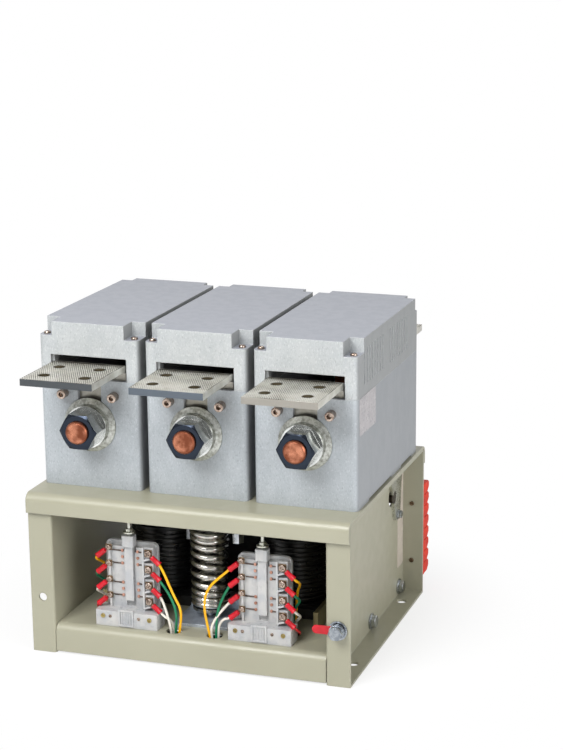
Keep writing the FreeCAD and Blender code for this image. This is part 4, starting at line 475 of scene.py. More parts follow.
@dataclass(frozen=True)
class TurnedCopper:
    """Copper rod whose ends show the rings of the turning tool and a dark rim."""

    colour: Colour
    dull: Colour
    pitch: float = 117 * MM
    axis_height: float = 243 * MM
    rod_radius: float = 12 * MM
    ring_rate: float = 5200.0
    rough: float = 0.27

    def build(self, name: str) -> bpy.types.Material:
        """Makes the material."""
        graph = Graph(name)
        above = graph.work("SUBTRACT", graph.axis("Z"), self.axis_height)
        reach = graph.work("SQRT", graph.square(graph.across(self.pitch), above))
        rings = graph.work("SINE", graph.work("MULTIPLY", reach, self.ring_rate))
        wear_and_shade_patches = graph.ramp(graph.noise(70.0, 4.0, 0.6), 0.40, 0.66)
        rim = graph.ramp(reach, self.rod_radius * 0.72, self.rod_radius * 0.97)
        base = graph.mix(wear_and_shade_patches, self.colour, self.dull)
        base = graph.tint(base, self.dull, rim, 0.8)
        graph.set(Base_Color=base, Metallic=0.85)
        graph.set(Roughness=graph.ramp(wear_and_shade_patches, 0.0, 1.0, self.rough, self.rough + 0.18))
        turned = graph.work("ADD", rings, graph.noise(300.0, 3.0))
        graph.bump(turned, 0.12, SKIN, 0.001)
        return graph.material


@dataclass(frozen=True)
class YokeSteel:
    """Magnet steel that is painted near-black between its side cheeks, as painted shade for the dark
    inside, and yellow-zinc outside.
    """

    cheek: Colour
    # The black and deep colours are painted shade on the steel between the cheeks.
    black: Colour
    cheek_start: float = 115.5 * MM
    deep: Colour = (0.012, 0.012, 0.012)

    def build(self, name: str) -> bpy.types.Material:
        """Makes the material."""
        graph = Graph(name)
        out = graph.work("ABSOLUTE", graph.axis("X"))
        side = graph.ramp(out, self.cheek_start - 1 * MM, self.cheek_start)
        cloud = graph.ramp(graph.noise(140.0, 4.0), 0.35, 0.65)
        # Painted shade: the steel between the cheeks is coloured near-black, with darker clouds.
        black = graph.mix(cloud, self.black, self.deep)
        graph.set(Base_Color=graph.mix(side, black, self.cheek))
        graph.set(Metallic=graph.work("MULTIPLY", side, 0.9))
        graph.set(Roughness=graph.ramp(side, 0.0, 1.0, 0.6, 0.38))
        graph.bump(graph.noise(500.0), 0.08, SKIN, 0.0008)
        return graph.material


@dataclass(frozen=True)
class Plastic:
    """Plain moulded or extruded plastic with a fine skin."""

    colour: Colour
    shade: Colour
    rough: float = 0.4
    grain: float = 500.0
    glow: float = 0.0

    def build(self, name: str) -> bpy.types.Material:
        """Makes the material."""
        graph = Graph(name)
        tone = graph.ramp(graph.noise(70.0, 3.0), *BAND)
        graph.set(Base_Color=graph.mix(tone, self.colour, self.shade))
        rough = graph.ramp(graph.noise(160.0), *BAND, self.rough - 0.04, self.rough + 0.08)
        graph.set(Roughness=rough)
        if self.glow > 0:
            graph.set(Subsurface_Weight=self.glow, Subsurface_Radius=(0.6, 0.7, 0.7))
            graph.set(Subsurface_Scale=0.004)
        graph.bump(graph.noise(self.grain, 2.0), 0.05, SKIN, 0.0004)
        return graph.material


class Finishes:
    """All finishes of the contactor, made once and handed out by name."""

    def __init__(self) -> None:
        """Makes every material."""
        recipes = {
            # The third colour of frame_paint is a painted highlight along the edges.
            "frame_paint": SheetPaint(rgb(160, 158, 139), rgb(155, 153, 134), rgb(182, 181, 164)),
            "pole_moulding": SpeckledMoulding(
                ground=rgb(162, 168, 173),
                light=rgb(190, 195, 199),
                dark=rgb(122, 128, 134),
                # The next two colours are painted shade on upward and sideways faces; the edge colour is
                # a painted highlight.
                top=rgb(146, 149, 159),
                side=rgb(140, 143, 147),
                edge=rgb(204, 209, 214),
            ),
            "cover_moulding": SpeckledMoulding(
                ground=rgb(168, 172, 174),
                light=rgb(198, 201, 200),
                dark=rgb(130, 134, 135),
                # The next two colours are painted shade on upward and sideways faces; the edge colour is
                # a painted highlight.
                top=rgb(146, 149, 159),
                side=rgb(138, 140, 141),
                edge=rgb(210, 213, 216),
            ),
            "bright_zinc": PlatedMetal(rgb(186, 190, 194), rgb(146, 150, 154), 0.20),
            "nut_zinc": PlatedMetal(
                rgb(206, 208, 206),
                rgb(176, 178, 176),
                0.16,
                # The end colour is a painted dark reflection on the nuts' forward end faces.
                end=rgb(50, 55, 64),
                painted_reflection_before=-140 * MM,
            ),
            "washer_zinc": PlatedMetal(rgb(194, 196, 191), rgb(140, 141, 133), 0.34, 0.9, 300.0),
            "zinc": PlatedMetal(rgb(204, 205, 198), rgb(178, 178, 164), 0.30),
            "yellow_zinc": PlatedMetal(rgb(178, 160, 104), rgb(128, 116, 84), 0.28),
            "nickel": PlatedMetal(rgb(188, 172, 160), rgb(132, 114, 102), 0.18, cell=260.0),
            "clamp_brass": PlatedMetal(rgb(132, 112, 92), rgb(88, 72, 58), 0.3),
            "tinned_copper": TinnedBar(
                rgb(236, 234, 226),
                rgb(216, 213, 201),
                fronts=(rgb(88, 92, 95), rgb(104, 112, 121), rgb(164, 160, 152)),
                # The next colour is painted shade for forward faces and the knurling's grooves.
                painted_shade=rgb(92, 88, 76),
                # The next colour is painted shade inside the bolt holes.
                bore_shade=rgb(112, 104, 86),
            ),
            "zinc_blue": PlatedMetal(rgb(196, 204, 214), rgb(170, 178, 190), 0.34, 0.6),
            "zinc_dark": PlatedMetal(rgb(178, 184, 190), rgb(126, 132, 140), 0.24),
            "link_copper": PlatedMetal(rgb(210, 134, 100), rgb(176, 100, 72), 0.32),
            "copper": TurnedCopper(rgb(196, 130, 102), rgb(124, 70, 50)),
            "contact_copper": PlatedMetal(rgb(104, 92, 86), rgb(74, 64, 60), 0.3),
            "contact_dot": PlatedMetal(rgb(200, 154, 136), rgb(158, 114, 96), 0.3, 0.9),
            # The second colour is painted shade on the yoke between its cheeks.
            "magnet_steel": YokeSteel(rgb(170, 160, 122), rgb(30, 30, 30)),
            "armature_steel": Plastic(rgb(34, 34, 34), rgb(24, 24, 24), 0.5),
            "spring_steel": PlatedMetal(rgb(212, 210, 204), rgb(186, 184, 178), 0.16),
            "shaft_steel": PlatedMetal(rgb(84, 76, 68), rgb(58, 52, 46), 0.35),
            "coil_tape": Plastic(rgb(26, 26, 27), rgb(16, 16, 17), 0.30),
            "bobbin_plastic": Plastic(rgb(24, 24, 24), rgb(14, 14, 14), 0.45),
            "ceramic": Plastic(rgb(226, 220, 206), rgb(214, 208, 192), 0.15),
            "insulator_red": Plastic(rgb(122, 48, 34), rgb(100, 38, 28), 0.4),
            "nylon": Plastic(rgb(190, 189, 187), rgb(170, 172, 175), 0.30, 400.0, 0.25),
            "terminal_orange": Plastic(rgb(222, 50, 0), rgb(196, 38, 0), 0.6),
            "lug_red": Plastic(rgb(200, 18, 40), rgb(172, 10, 28), 0.32),
            "sleeve_black": Plastic(rgb(30, 30, 32), rgb(18, 18, 20), 0.5),
            "wire_yellow": Plastic(rgb(250, 186, 10), rgb(238, 170, 6), 0.33),
            "wire_green": Plastic(rgb(6, 124, 84), rgb(4, 104, 70), 0.33),
            "wire_white": Plastic(rgb(232, 228, 216), rgb(218, 212, 200), 0.35),
            "wire_red": Plastic(rgb(196, 30, 34), rgb(176, 22, 26), 0.35),
            "plate_silver": Plastic(rgb(176, 172, 174), rgb(160, 157, 160), 0.28),
            "plate_pale": Plastic(rgb(200, 190, 178), rgb(190, 180, 168), 0.4),
        }
        self.made = {name: recipe.build(name) for name, recipe in recipes.items()}

    def get(self, name: str) -> bpy.types.Material:
        """One finish by name."""
        return self.made[name]


class CadFrame:
    """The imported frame, with boxes of the separate solids in its nodes."""

    def __init__(self, loaded: dict) -> None:
        self.nodes = loaded["nodes"]
        self.record = loaded["record"]

    def merged(self, node: str) -> bmesh.types.BMesh:
        """A copy of a node's mesh with its doubled points merged."""
        work = bmesh.new()
        work.from_mesh(self.nodes[node].data)
        bmesh.ops.remove_doubles(work, verts=work.verts, dist=DOUBLES)
        work.verts.ensure_lookup_table()
        return work

    def solids(self, node: str) -> list[Box]:
        """Boxes of the separate solids of a node.

        Args:
            node: Name of the node.

        Returns:
            Lowest and highest corner of each solid, in metres.
        """
        work = self.merged(node)
        seen: set[int] = set()
        boxes = []
        for vert in work.verts:
            if vert.index in seen:
                continue
            seen.add(vert.index)
            waiting = [vert]
            spots = []
            while waiting:
                one = waiting.pop()
                spots.append(one.co.copy())
                for edge in one.link_edges:
                    other = edge.other_vert(one)
                    if other.index not in seen:
                        seen.add(other.index)
                        waiting.append(other)
            low = Vector([min(spot[axis] for spot in spots) for axis in range(3)])
            high = Vector([max(spot[axis] for spot in spots) for axis in range(3)])
            boxes.append((low, high))
        work.free()
        return boxes


class Workshop:
    """Turns finished meshes into pieces of the frame and reports them."""

    def __init__(self, finishes: Finishes) -> None:
        """Keeps the finishes."""
        self.finishes = finishes

    def add(
        self,
        name: str,
        mesh: Mesh,
        slot: str,
        *replaced: str,
        body: Body | None = Body.FRAME,
        finish: str | None = None,
    ) -> bpy.types.Object:
        """Makes one piece.

        Args:
            name: Name of the piece.
            mesh: Its mesh, in the frame's own place.
            slot: The record's material slot that it belongs to; not used.
            replaced: CAD nodes that it stands for.
            body: Body that it rides on, or None where it spans two and rides on neither.
            finish: Finish to put on it, or None where the mesh has its own.

        Returns:
            The new object.
        """
        piece = bpy.data.objects.new(name, mesh)
        bpy.context.scene.collection.objects.link(piece)
        if finish is not None:
            mesh.materials.clear()
            mesh.materials.append(self.finishes.get(finish))
        if body is not None:
            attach(piece, body.value)
        if replaced:
            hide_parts(*replaced)
        LOG.info("%s: %d faces", name, len(mesh.polygons))
        return piece


def to_mesh(work: bmesh.types.BMesh, name: str, crease: float = CREASE) -> Mesh:
    """Finishes a bmesh as a smooth mesh with sharp creases.

    Args:
        work: The bmesh, freed here.
        name: Name of the mesh.
        crease: Angle in degrees past which an edge stays sharp.

    Returns:
        The mesh.
    """
    bmesh.ops.recalc_face_normals(work, faces=work.faces)
    mesh = bpy.data.meshes.new(name)
    work.to_mesh(mesh)
    work.free()
    mesh.shade_smooth()
    mesh.set_sharp_from_angle(angle=math.radians(crease))
    return mesh


def skin(work: bmesh.types.BMesh, loops: list[list], last: bool = True) -> None:
    """Lays faces from each closed loop of points to the next one, and closes the ends.

    Args:
        work: The bmesh that the points are in.
        loops: Loops of equally many points, in order.
        last: Whether the last loop is closed with a face, as the first one is.
    """
    work.faces.new(loops[0])
    if last:
        work.faces.new(loops[-1])
    for low, high in zip(loops, loops[1:]):
        for step in range(len(low)):
            after = (step + 1) % len(low)
            work.faces.new((low[step], low[after], high[after], high[step]))


class Growth(Tree):
    """A geometry-node tree with named inputs, grown on a carrier into a plain mesh."""

    prefix = "GeometryNode"

    def __init__(self, name: str, **inputs: float) -> None:
        """Starts a tree.

        Args:
            name: Name of the tree.
            inputs: Named inputs and their usual values.
        """
        super().__init__(bpy.data.node_groups.new(name, "GeometryNodeTree"))
        self.name = name
        self.keys: dict[str, str] = {}
        self.add_input("Geometry", "Geometry")
        for key, value in inputs.items():
            self.add_input(key, "Float").default_value = value
        self.add_input("finish", "Material")
        face = self.tree.interface
        face.new_socket("Geometry", in_out="OUTPUT", socket_type="NodeSocketGeometry")
        self.start = self.tree.nodes.new("NodeGroupInput")

    def add_input(self, key: str, kind: str) -> bpy.types.NodeTreeInterfaceSocket:
        """Adds an input of the tree and notes its identifier."""
        face = self.tree.interface
        socket = face.new_socket(key, in_out="INPUT", socket_type="NodeSocket" + kind)
        self.keys[key] = socket.identifier
        return socket

    def input(self, key: str) -> Socket:
        """One of the tree's own inputs."""
        return self.start.outputs[key]

    def plant(self, instance: Socket, **more: object) -> None:
        """Ends the tree with a copy of a geometry on each carrier point, made real."""
        feeds = {"Points": self.input("Geometry"), "Instance": instance, **more}
        real = self.node("RealizeInstances", {0: self.node("InstanceOnPoints", feeds)})
        done = self.node("SetMaterial", {"Geometry": real, "Material": self.input("finish")})
        end = self.tree.nodes.new("NodeGroupOutput")
        self.feed(end.inputs[0], done)

    def grow(self, carrier: Mesh, finish: bpy.types.Material, **values: object) -> Mesh:
        """Runs the tree on a carrier mesh.

        Args:
            carrier: The mesh that the tree starts from.
            finish: Material of the result.
            values: Values of the named inputs that differ from the usual ones.

        Returns:
            The plain mesh.
        """
        helper = bpy.data.objects.new(self.name, carrier)
        bpy.context.scene.collection.objects.link(helper)
        modifier = helper.modifiers.new(self.name, "NODES")
        modifier.node_group = self.tree
        modifier[self.keys["finish"]] = finish
        for key, value in values.items():
            modifier[self.keys[key]] = value
        depsgraph = bpy.context.evaluated_depsgraph_get()
        mesh = bpy.data.meshes.new_from_object(helper.evaluated_get(depsgraph))
        bpy.data.objects.remove(helper)
        mesh.set_sharp_from_angle(angle=math.radians(CREASE))
        return mesh


def spots_mesh(name: str, places: list[Vector], turns: list[Vector] | None = None) -> Mesh:
    """A carrier of loose points.

    Args:
        name: Name of the mesh.
        places: The points.
        turns: Euler turn of what stands on each point, kept as the attribute turn.

    Returns:
        The carrier mesh.
    """
    mesh = bpy.data.meshes.new(name)
    mesh.from_pydata([tuple(place) for place in places], [], [])
    attribute = mesh.attributes.new("turn", "FLOAT_VECTOR", "POINT")
    for index, turn in enumerate(turns or [Vector()] * len(places)):
        attribute.data[index].vector = turn
    return mesh


class Stamper:
    """Puts copies of one small mesh on many turned places, with geometry nodes."""

    def __init__(self) -> None:
        """Makes the tree, whose small object is its own input."""
        self.growth = Growth("stamp")
        self.growth.add_input("small", "Object")
        info = self.growth.node("ObjectInfo", {"Object": self.growth.input("small")}, "Geometry")
        turn = self.growth.node("InputNamedAttribute", {"Name": "turn"}, data_type="FLOAT_VECTOR")
        spin = self.growth.node("FunctionNodeEulerToRotation", {0: turn})
        self.growth.plant(info, Rotation=spin)

    def stamp(
        self, small: Mesh, places: list[Vector], turns: list[Vector], finish: bpy.types.Material
    ) -> Mesh:
        """Copies a small mesh to every place.

        Args:
            small: The mesh that is copied.
            places: Where the copies stand.
            turns: Euler turn of each copy.
            finish: Material of the result.

        Returns:
            One mesh of all the copies.
        """
        pattern = bpy.data.objects.new("pattern", small)
        bpy.context.scene.collection.objects.link(pattern)
        carrier = spots_mesh("places", places, turns)
        mesh = self.growth.grow(carrier, finish, small=pattern)
        bpy.data.objects.remove(pattern)
        return mesh


class Recess(Enum):
    """Driver recesses of the screw heads."""

    CROSS = "cross"
    HEX = "hex"
    SLOT = "slot"

    def outline(self, reach: float) -> list[tuple[float, float]]:
        """Outline of the recess, anticlockwise, for a reach from its middle."""
        if self is Recess.HEX:
            turns = [math.tau * step / 6 for step in range(6)]
            return [(reach * math.cos(turn), reach * math.sin(turn)) for turn in turns]
        arm = reach * 0.24
        if self is Recess.SLOT:
            return [(-reach, -arm), (reach, -arm), (reach, arm), (-reach, arm)]
        points = []
        for quarter in range(4):
            turn = math.pi / 2 * quarter
            wide, tall = math.cos(turn), math.sin(turn)
            for x, y in ((reach, -arm), (reach, arm), (arm, arm)):
                points.append((x * wide - y * tall, x * tall + y * wide))
        return points


@dataclass(frozen=True)
class Head:
    """A screw with a turned head that faces +Z, its seat at zero."""

    recess: Recess
    radius: float
    height: float
    crown: float
    reach: float
    depth: float
    shank_radius: float
    shank_length: float
    knurl: float = 0.0
    sides: int = 36
    recess_taper: float = 0.8
    crown_curve: tuple[tuple[float, float], ...] = ((0.12, 0.5), (0.45, 0.88))

    @classmethod
    def sized(cls, recess: Recess, *sizes: float, sides: int = 36) -> Head:
        """A head from its sizes in millimetres, in the order of the fields."""
        return cls(recess, *(size * MM for size in sizes), sides=sides)

    def mesh(self, name: str) -> Mesh:
        """Builds the screw's mesh.

        Args:
            name: Name of the mesh.

        Returns:
            The mesh, its recess cut into the crown.
        """
        work = bmesh.new()
        shoulder = self.height - self.crown
        rings = [
            (self.shank_radius, -self.shank_length, False),
            (self.shank_radius, 0.0, False),
            (self.radius, 0.0, True),
            (self.radius, shoulder, True),
        ]
        for inward, upward in self.crown_curve:
            rings.append(
                (self.radius - self.crown * inward, shoulder + self.crown * upward, False)
            )
        rings.append((self.radius - self.crown, self.height, False))
        loops = []
        for radius, level, knurled in rings:
            loop = []
            for step in range(self.sides):
                turn = math.tau * step / self.sides
                reach = radius - (self.knurl if knurled and step % 2 else 0.0)
                loop.append(work.verts.new((reach * math.cos(turn), reach * math.sin(turn), level)))
            loops.append(loop)
        skin(work, loops, last=False)
        outline = self.recess.outline(self.reach)
        taper = self.recess_taper
        floor = self.height - self.depth
        mouth = [work.verts.new((x, y, self.height)) for x, y in outline]
        bottom = [work.verts.new((x * taper, y * taper, floor)) for x, y in outline]
        skin(work, [bottom, mouth], last=False)
        rim = []
        for loop in (mouth, loops[-1]):
            for step, vert in enumerate(loop):
                rim.append(work.edges.get((vert, loop[(step + 1) % len(loop)])))
        bmesh.ops.triangle_fill(work, use_beauty=True, edges=rim, normal=(0.0, 0.0, 1.0))
        return to_mesh(work, name, 30.0)


# Sizes in millimetres: radius, height and crown of the head, reach and depth of the recess,
# radius and length of the shank, and depth of the knurl where there is one.
HEADS = {
    "cover_pan_screws": Head.sized(Recess.CROSS, 3.6, 2.4, 1.2, 2.0, 1.2, 1.6, 50),
    "line_socket_screws": Head.sized(Recess.HEX, 5, 9, 0.7, 2.9, 4, 3, 12, 0.25, sides=48),
    "load_socket_screws": Head.sized(Recess.HEX, 5, 6, 0.7, 2.9, 3, 3, 12, 0.25, sides=48),
    "right_terminal_screws": Head.sized(Recess.CROSS, 3.8, 2.0, 1.2, 2.4, 1.1, 1.4, 3),
    "left_terminal_screws": Head.sized(Recess.CROSS, 2.8, 1.6, 0.9, 1.8, 0.8, 1.2, 3),
    "outer_foot_screws": Head.sized(Recess.CROSS, 2.5, 1.3, 0.8, 1.6, 0.8, 1.2, 3),
    "inner_foot_screws": Head.sized(Recess.SLOT, 1.8, 1.0, 0.6, 1.3, 0.6, 1.0, 3),
    "contact_rivets": Head.sized(Recess.SLOT, 1.7, 1.1, 0.5, 0.4, 0.1, 0.8, 0.2, sides=20),
    "block_screws": Head.sized(Recess.CROSS, 2.6, 1.6, 1.0, 1.5, 0.9, 1.5, 9),
}


class Facing(Enum):
    """Ways that a screw head points, as Euler turns of +Z."""

    UP = (0.0, 0.0, 0.0)
    FRONT = (math.pi / 2, 0.0, 0.0)
    REAR = (-math.pi / 2, 0.0, 0.0)

    def turn(self, spin: float = 0.0) -> Vector:
        """The Euler turn, with the head spun about its own axis first."""
        base = Euler(self.value).to_matrix() @ Matrix.Rotation(spin, 3, "Z")
        return Vector(base.to_euler())


@dataclass
class Fasteners:
    """Screws of the covers, busbars, switches and terminal block, and the switch contacts."""

    cad: CadFrame
    shop: Workshop
    stamper: Stamper
    rng: random.Random
    foot_ledge: float = 50 * MM
    outer_foot: float = 2 * MM
    right_terminal: float = 3 * MM
    right_clamp: float = 4.2 * MM
    left_clamp: float = 3.4 * MM
    clamp_thick: float = 0.6 * MM
    clamp_corner: float = 0.5 * MM
    cap_gap: float = 0.4 * MM
    blade_aspect: float = 1.5
    block_seat: float = 2 * MM
    block_spin: float = 0.4

    def put(
        self,
        name: str,
        facing: Facing,
        seats: list[Vector],
        finish: str,
        replaced: str,
        slot: str = "bright_zinc",
        spin: float | None = None,
    ) -> None:
        """Stamps one kind of head on its seats and adds the piece.

        Args:
            name: Name of the piece and of its head.
            facing: Way that the heads point.
            seats: Where they sit.
            finish: Finish of the piece.
            replaced: CAD node that it stands for.
            slot: The record's material slot.
            spin: Turn of each head about its own axis, or None for one at random.
        """
        turns = []
        for _ in seats:
            turns.append(facing.turn(self.rng.uniform(0.0, math.pi) if spin is None else spin))
        small = HEADS[name].mesh(name)
        mesh = self.stamper.stamp(small, seats, turns, self.shop.finishes.get(finish))
        self.shop.add(name, mesh, slot, replaced)

    def covers(self) -> None:
        """Pan screws in the corner notches of the covers."""
        height = HEADS["cover_pan_screws"].height
        seats = []
        for low, high in self.cad.solids("cover_screws"):
            centre = halfway(low, high)
            seats.append(Vector((centre.x, centre.y, high.z - height)))
        self.put("cover_pan_screws", Facing.UP, seats, "nickel", "cover_screws")

    def busbars(self) -> None:
        """Knurled socket screws that clamp the busbars."""
        fronts = []
        rears = []
        for low, high in self.cad.solids("busbar_screws"):
            centre = halfway(low, high)
            if centre.y < 0:
                y = low.y + HEADS["line_socket_screws"].height
                fronts.append(Vector((centre.x, y, centre.z)))
            else:
                y = high.y - HEADS["load_socket_screws"].height
                rears.append(Vector((centre.x, y, centre.z)))
        self.put("line_socket_screws", Facing.FRONT, fronts, "nickel", "busbar_screws")
        self.put("load_socket_screws", Facing.REAR, rears, "nickel", "busbar_screws")

    def switches(self) -> None:
        """Terminal and foot screws of the auxiliary switches, with square clamp plates."""
        wide = []
        narrow = []
        outer = []
        inner = []
        for low, high in self.cad.solids("aux_screws"):
            centre = halfway(low, high)
            radius = (high.x - low.x) / 2
            if centre.z < self.foot_ledge:
                group = outer if radius > self.outer_foot else inner
                group.append(Vector((centre.x, high.y, centre.z)))
            else:
                group = wide if radius > self.right_terminal else narrow
                group.append(Vector((centre.x, high.y - self.clamp_thick, centre.z)))
        for name, seats, finish in (
            ("right_terminal_screws", wide, "nickel"),
            ("left_terminal_screws", narrow, "nickel"),
            ("outer_foot_screws", outer, "yellow_zinc"),
            ("inner_foot_screws", inner, "nickel"),
        ):
            self.put(name, Facing.FRONT, seats, finish, "aux_screws")
        for name, seats, half in (
            ("right_clamps", wide, self.right_clamp),
            ("left_clamps", narrow, self.left_clamp),
        ):
            plate = plate_mesh(name, half, half, self.clamp_thick, self.clamp_corner)
            places = [seat + Vector((0.0, self.clamp_thick, 0.0)) for seat in seats]
            turns = [Facing.FRONT.turn() for _ in places]
            brass = self.shop.finishes.get("clamp_brass")
            mesh = self.stamper.stamp(plate, places, turns, brass)
            self.shop.add(name, mesh, "bright_zinc", "aux_screws")

    def contacts(self) -> None:
        """Contact rivets of the switches, clear of the caps that come down, and their blades."""
        rivet = HEADS["contact_rivets"].radius
        seats = []
        blades = bmesh.new()
        for low, high in self.cad.solids("aux_contacts"):
            centre = halfway(low, high)
            side = "left" if centre.x < 0 else "right"
            cap_low, cap_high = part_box("aux_plunger_" + side)
            plunger = (cap_low.x + cap_high.x) / 2
            clear = (cap_high.x - cap_low.x) / 2 + self.cap_gap + rivet
            way = 1 if centre.x > plunger else -1
            if high.x - low.x < self.blade_aspect * (high.z - low.z):
                offset = max(abs(centre.x - plunger), clear)
                seats.append(Vector((plunger + way * offset, high.y, centre.z)))
                continue
            near, far = sorted((abs(low.x - plunger), abs(high.x - plunger)))
            near = max(near, clear)
            size = (far - near, high.y - low.y, high.z - low.z)
            spot = Vector((plunger + way * (near + far) / 2, centre.y, centre.z))
            place = Matrix.Translation(spot) @ Matrix.Diagonal((*size, 1.0))
            bmesh.ops.create_cube(blades, size=1.0, matrix=place)
        slot = "contact_copper"
        self.put("contact_rivets", Facing.FRONT, seats, "contact_dot", "aux_contacts", slot)
        mesh = to_mesh(blades, "contact_blades")
        self.shop.add("contact_blades", mesh, slot, "aux_contacts", finish="contact_copper")

    def terminal_block(self) -> None:
        """Screws that hold the terminal block, from the front of the rear flange."""
        seats = []
        for low, high in self.cad.solids("terminal_screws"):
            centre = halfway(low, high)
            seats.append(Vector((centre.x, low.y + self.block_seat, centre.z)))
        self.put(
            "block_screws",
            Facing.FRONT,
            seats,
            "clamp_brass",
            "terminal_screws",
            "zinc",
            self.block_spin,
        )


def plate_mesh(name: str, half_x: float, half_y: float, thick: float, corner: float) -> Mesh:
    """A plate on the XY plane with cut corners and a bevelled upper edge.

    Args:
        name: Name of the mesh.
        half_x: Half its width.
        half_y: Half its height.
        thick: Its thickness, upwards from zero.
        corner: Length of the cut corners.

    Returns:
        The mesh.
    """
    work = bmesh.new()
    bevel = thick * 0.3
    loops = []
    for level, inset in ((0.0, 0.0), (thick * 0.7, 0.0), (thick, bevel)):
        wide = half_x - inset
        tall = half_y - inset
        outline = (
            (wide, -tall + corner),
            (wide, tall - corner),
            (wide - corner, tall),
            (-wide + corner, tall),
            (-wide, tall - corner),
            (-wide, -tall + corner),
            (-wide + corner, -tall),
            (wide - corner, -tall),
        )
        loops.append([work.verts.new((x, y, level)) for x, y in outline])
    skin(work, loops)
    return to_mesh(work, name)


@dataclass
class Knurling:
    """Diamond knurling on both faces of the busbar tongues, drawn out along the bar."""

    shop: Workshop
    pitch: float = 2.3 * MM
    stretch: float = 1.9
    height: float = 0.38 * MM
    width: float = 75.5 * MM
    length: float = 72.5 * MM
    hole_x: float = 22.0 * MM
    hole_y: float = 17.5 * MM
    hole_keep: float = 6.3 * MM
    tongue: float = 76.0 * MM
    bar_thick: float = 7.0 * MM
    sunk: float = 0.02 * MM
    grid_share: float = 1.45
    crest_share: float = 0.10

    def tree(self) -> Growth:
        """Makes the tree: a turned grid of pyramids that keeps clear of the four holes."""
        growth = Growth(
            "knurl",
            pitch=self.pitch,
            stretch=self.stretch,
            height=self.height,
            width=self.width,
            length=self.length,
            hole_x=self.hole_x,
            hole_y=self.hole_y,
            hole_keep=self.hole_keep,
            thick=self.bar_thick,
        )
        pitch = growth.input("pitch")
        step = growth.work("DIVIDE", pitch, math.sqrt(2.0))
        span = growth.work("MULTIPLY", growth.input("width"), self.grid_share)
        count = growth.work("DIVIDE", span, step)
        sizes = {"Size X": span, "Size Y": span, "Vertices X": count, "Vertices Y": count}
        grid = growth.node("MeshGrid", sizes)
        eighth = (0.0, 0.0, math.pi / 4)
        grid = growth.node("Transform", {"Geometry": grid, "Rotation": eighth})
        stretch = {"X": 1.0, "Y": growth.input("stretch"), "Z": 1.0}
        longer = growth.node("ShaderNodeCombineXYZ", stretch)
        grid = growth.node("Transform", {"Geometry": grid, "Scale": longer})
        drop = self.gone(growth)
        feeds = {"Geometry": grid, "Selection": drop}
        grid = growth.node("DeleteGeometry", feeds, domain="POINT")
        sizes = {
            "Vertices": 4,
            "Radius Top": growth.work("MULTIPLY", pitch, self.crest_share),
            "Radius Bottom": growth.work("MULTIPLY", pitch, 0.5),
            "Depth": growth.input("height"),
        }
        cone = growth.node("MeshCone", sizes, "Mesh", fill_type="NGON")
        cone = growth.node("Transform", {"Geometry": cone, "Scale": longer})
        field = growth.node("InstanceOnPoints", {"Points": grid, "Instance": cone})
        depth = growth.work("SUBTRACT", -self.sunk, growth.input("thick"))
        feeds = {
            "Geometry": field,
            "Rotation": (math.pi, 0.0, 0.0),
            "Translation": growth.node("ShaderNodeCombineXYZ", {"Z": depth}),
        }
        under = growth.node("Transform", feeds)
        join = growth.tree.nodes.new("GeometryNodeJoinGeometry")
        for half_field in (field, under):
            growth.feed(join.inputs[0], half_field)
        growth.plant(join.outputs[0])
        return growth

    def gone(self, growth: Growth) -> Socket:
        """One where a point of the grid is off the tongue or inside a hole's keep."""
        place = growth.node("InputPosition", {})
        gone = []
        off = []
        for axis, edge, hole in (("X", "width", "hole_x"), ("Y", "length", "hole_y")):
            part = growth.node("ShaderNodeSeparateXYZ", {0: place}, axis)
            reach = growth.work("ABSOLUTE", part)
            half = growth.work("MULTIPLY", growth.input(edge), 0.5)
            gone.append(growth.work("GREATER_THAN", reach, half))
            away = growth.work("SUBTRACT", reach, growth.input(hole))
            off.append(growth.work("MULTIPLY", away, away))
        near = growth.work("SQRT", growth.work("ADD", *off))
        inside = growth.work("LESS_THAN", near, growth.input("hole_keep"))
        return growth.work("MAXIMUM", growth.work("MAXIMUM", *gone), inside)

    def build(self) -> None:
        """Knurls the front and the rear tongues."""
        growth = self.tree()
        finish = self.shop.finishes.get("tinned_copper")
        for bank, front in (("line", True), ("load", False)):
            places = []
            for pole in (1, 2, 3):
                low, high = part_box("%s_busbar_%d" % (bank, pole))
                y = low.y + self.tongue / 2 if front else high.y - self.tongue / 2
                places.append(Vector(((low.x + high.x) / 2, y, high.z)))
            mesh = growth.grow(spots_mesh(bank, places), finish)
            self.shop.add(bank + "_knurling", mesh, "tinned_copper")


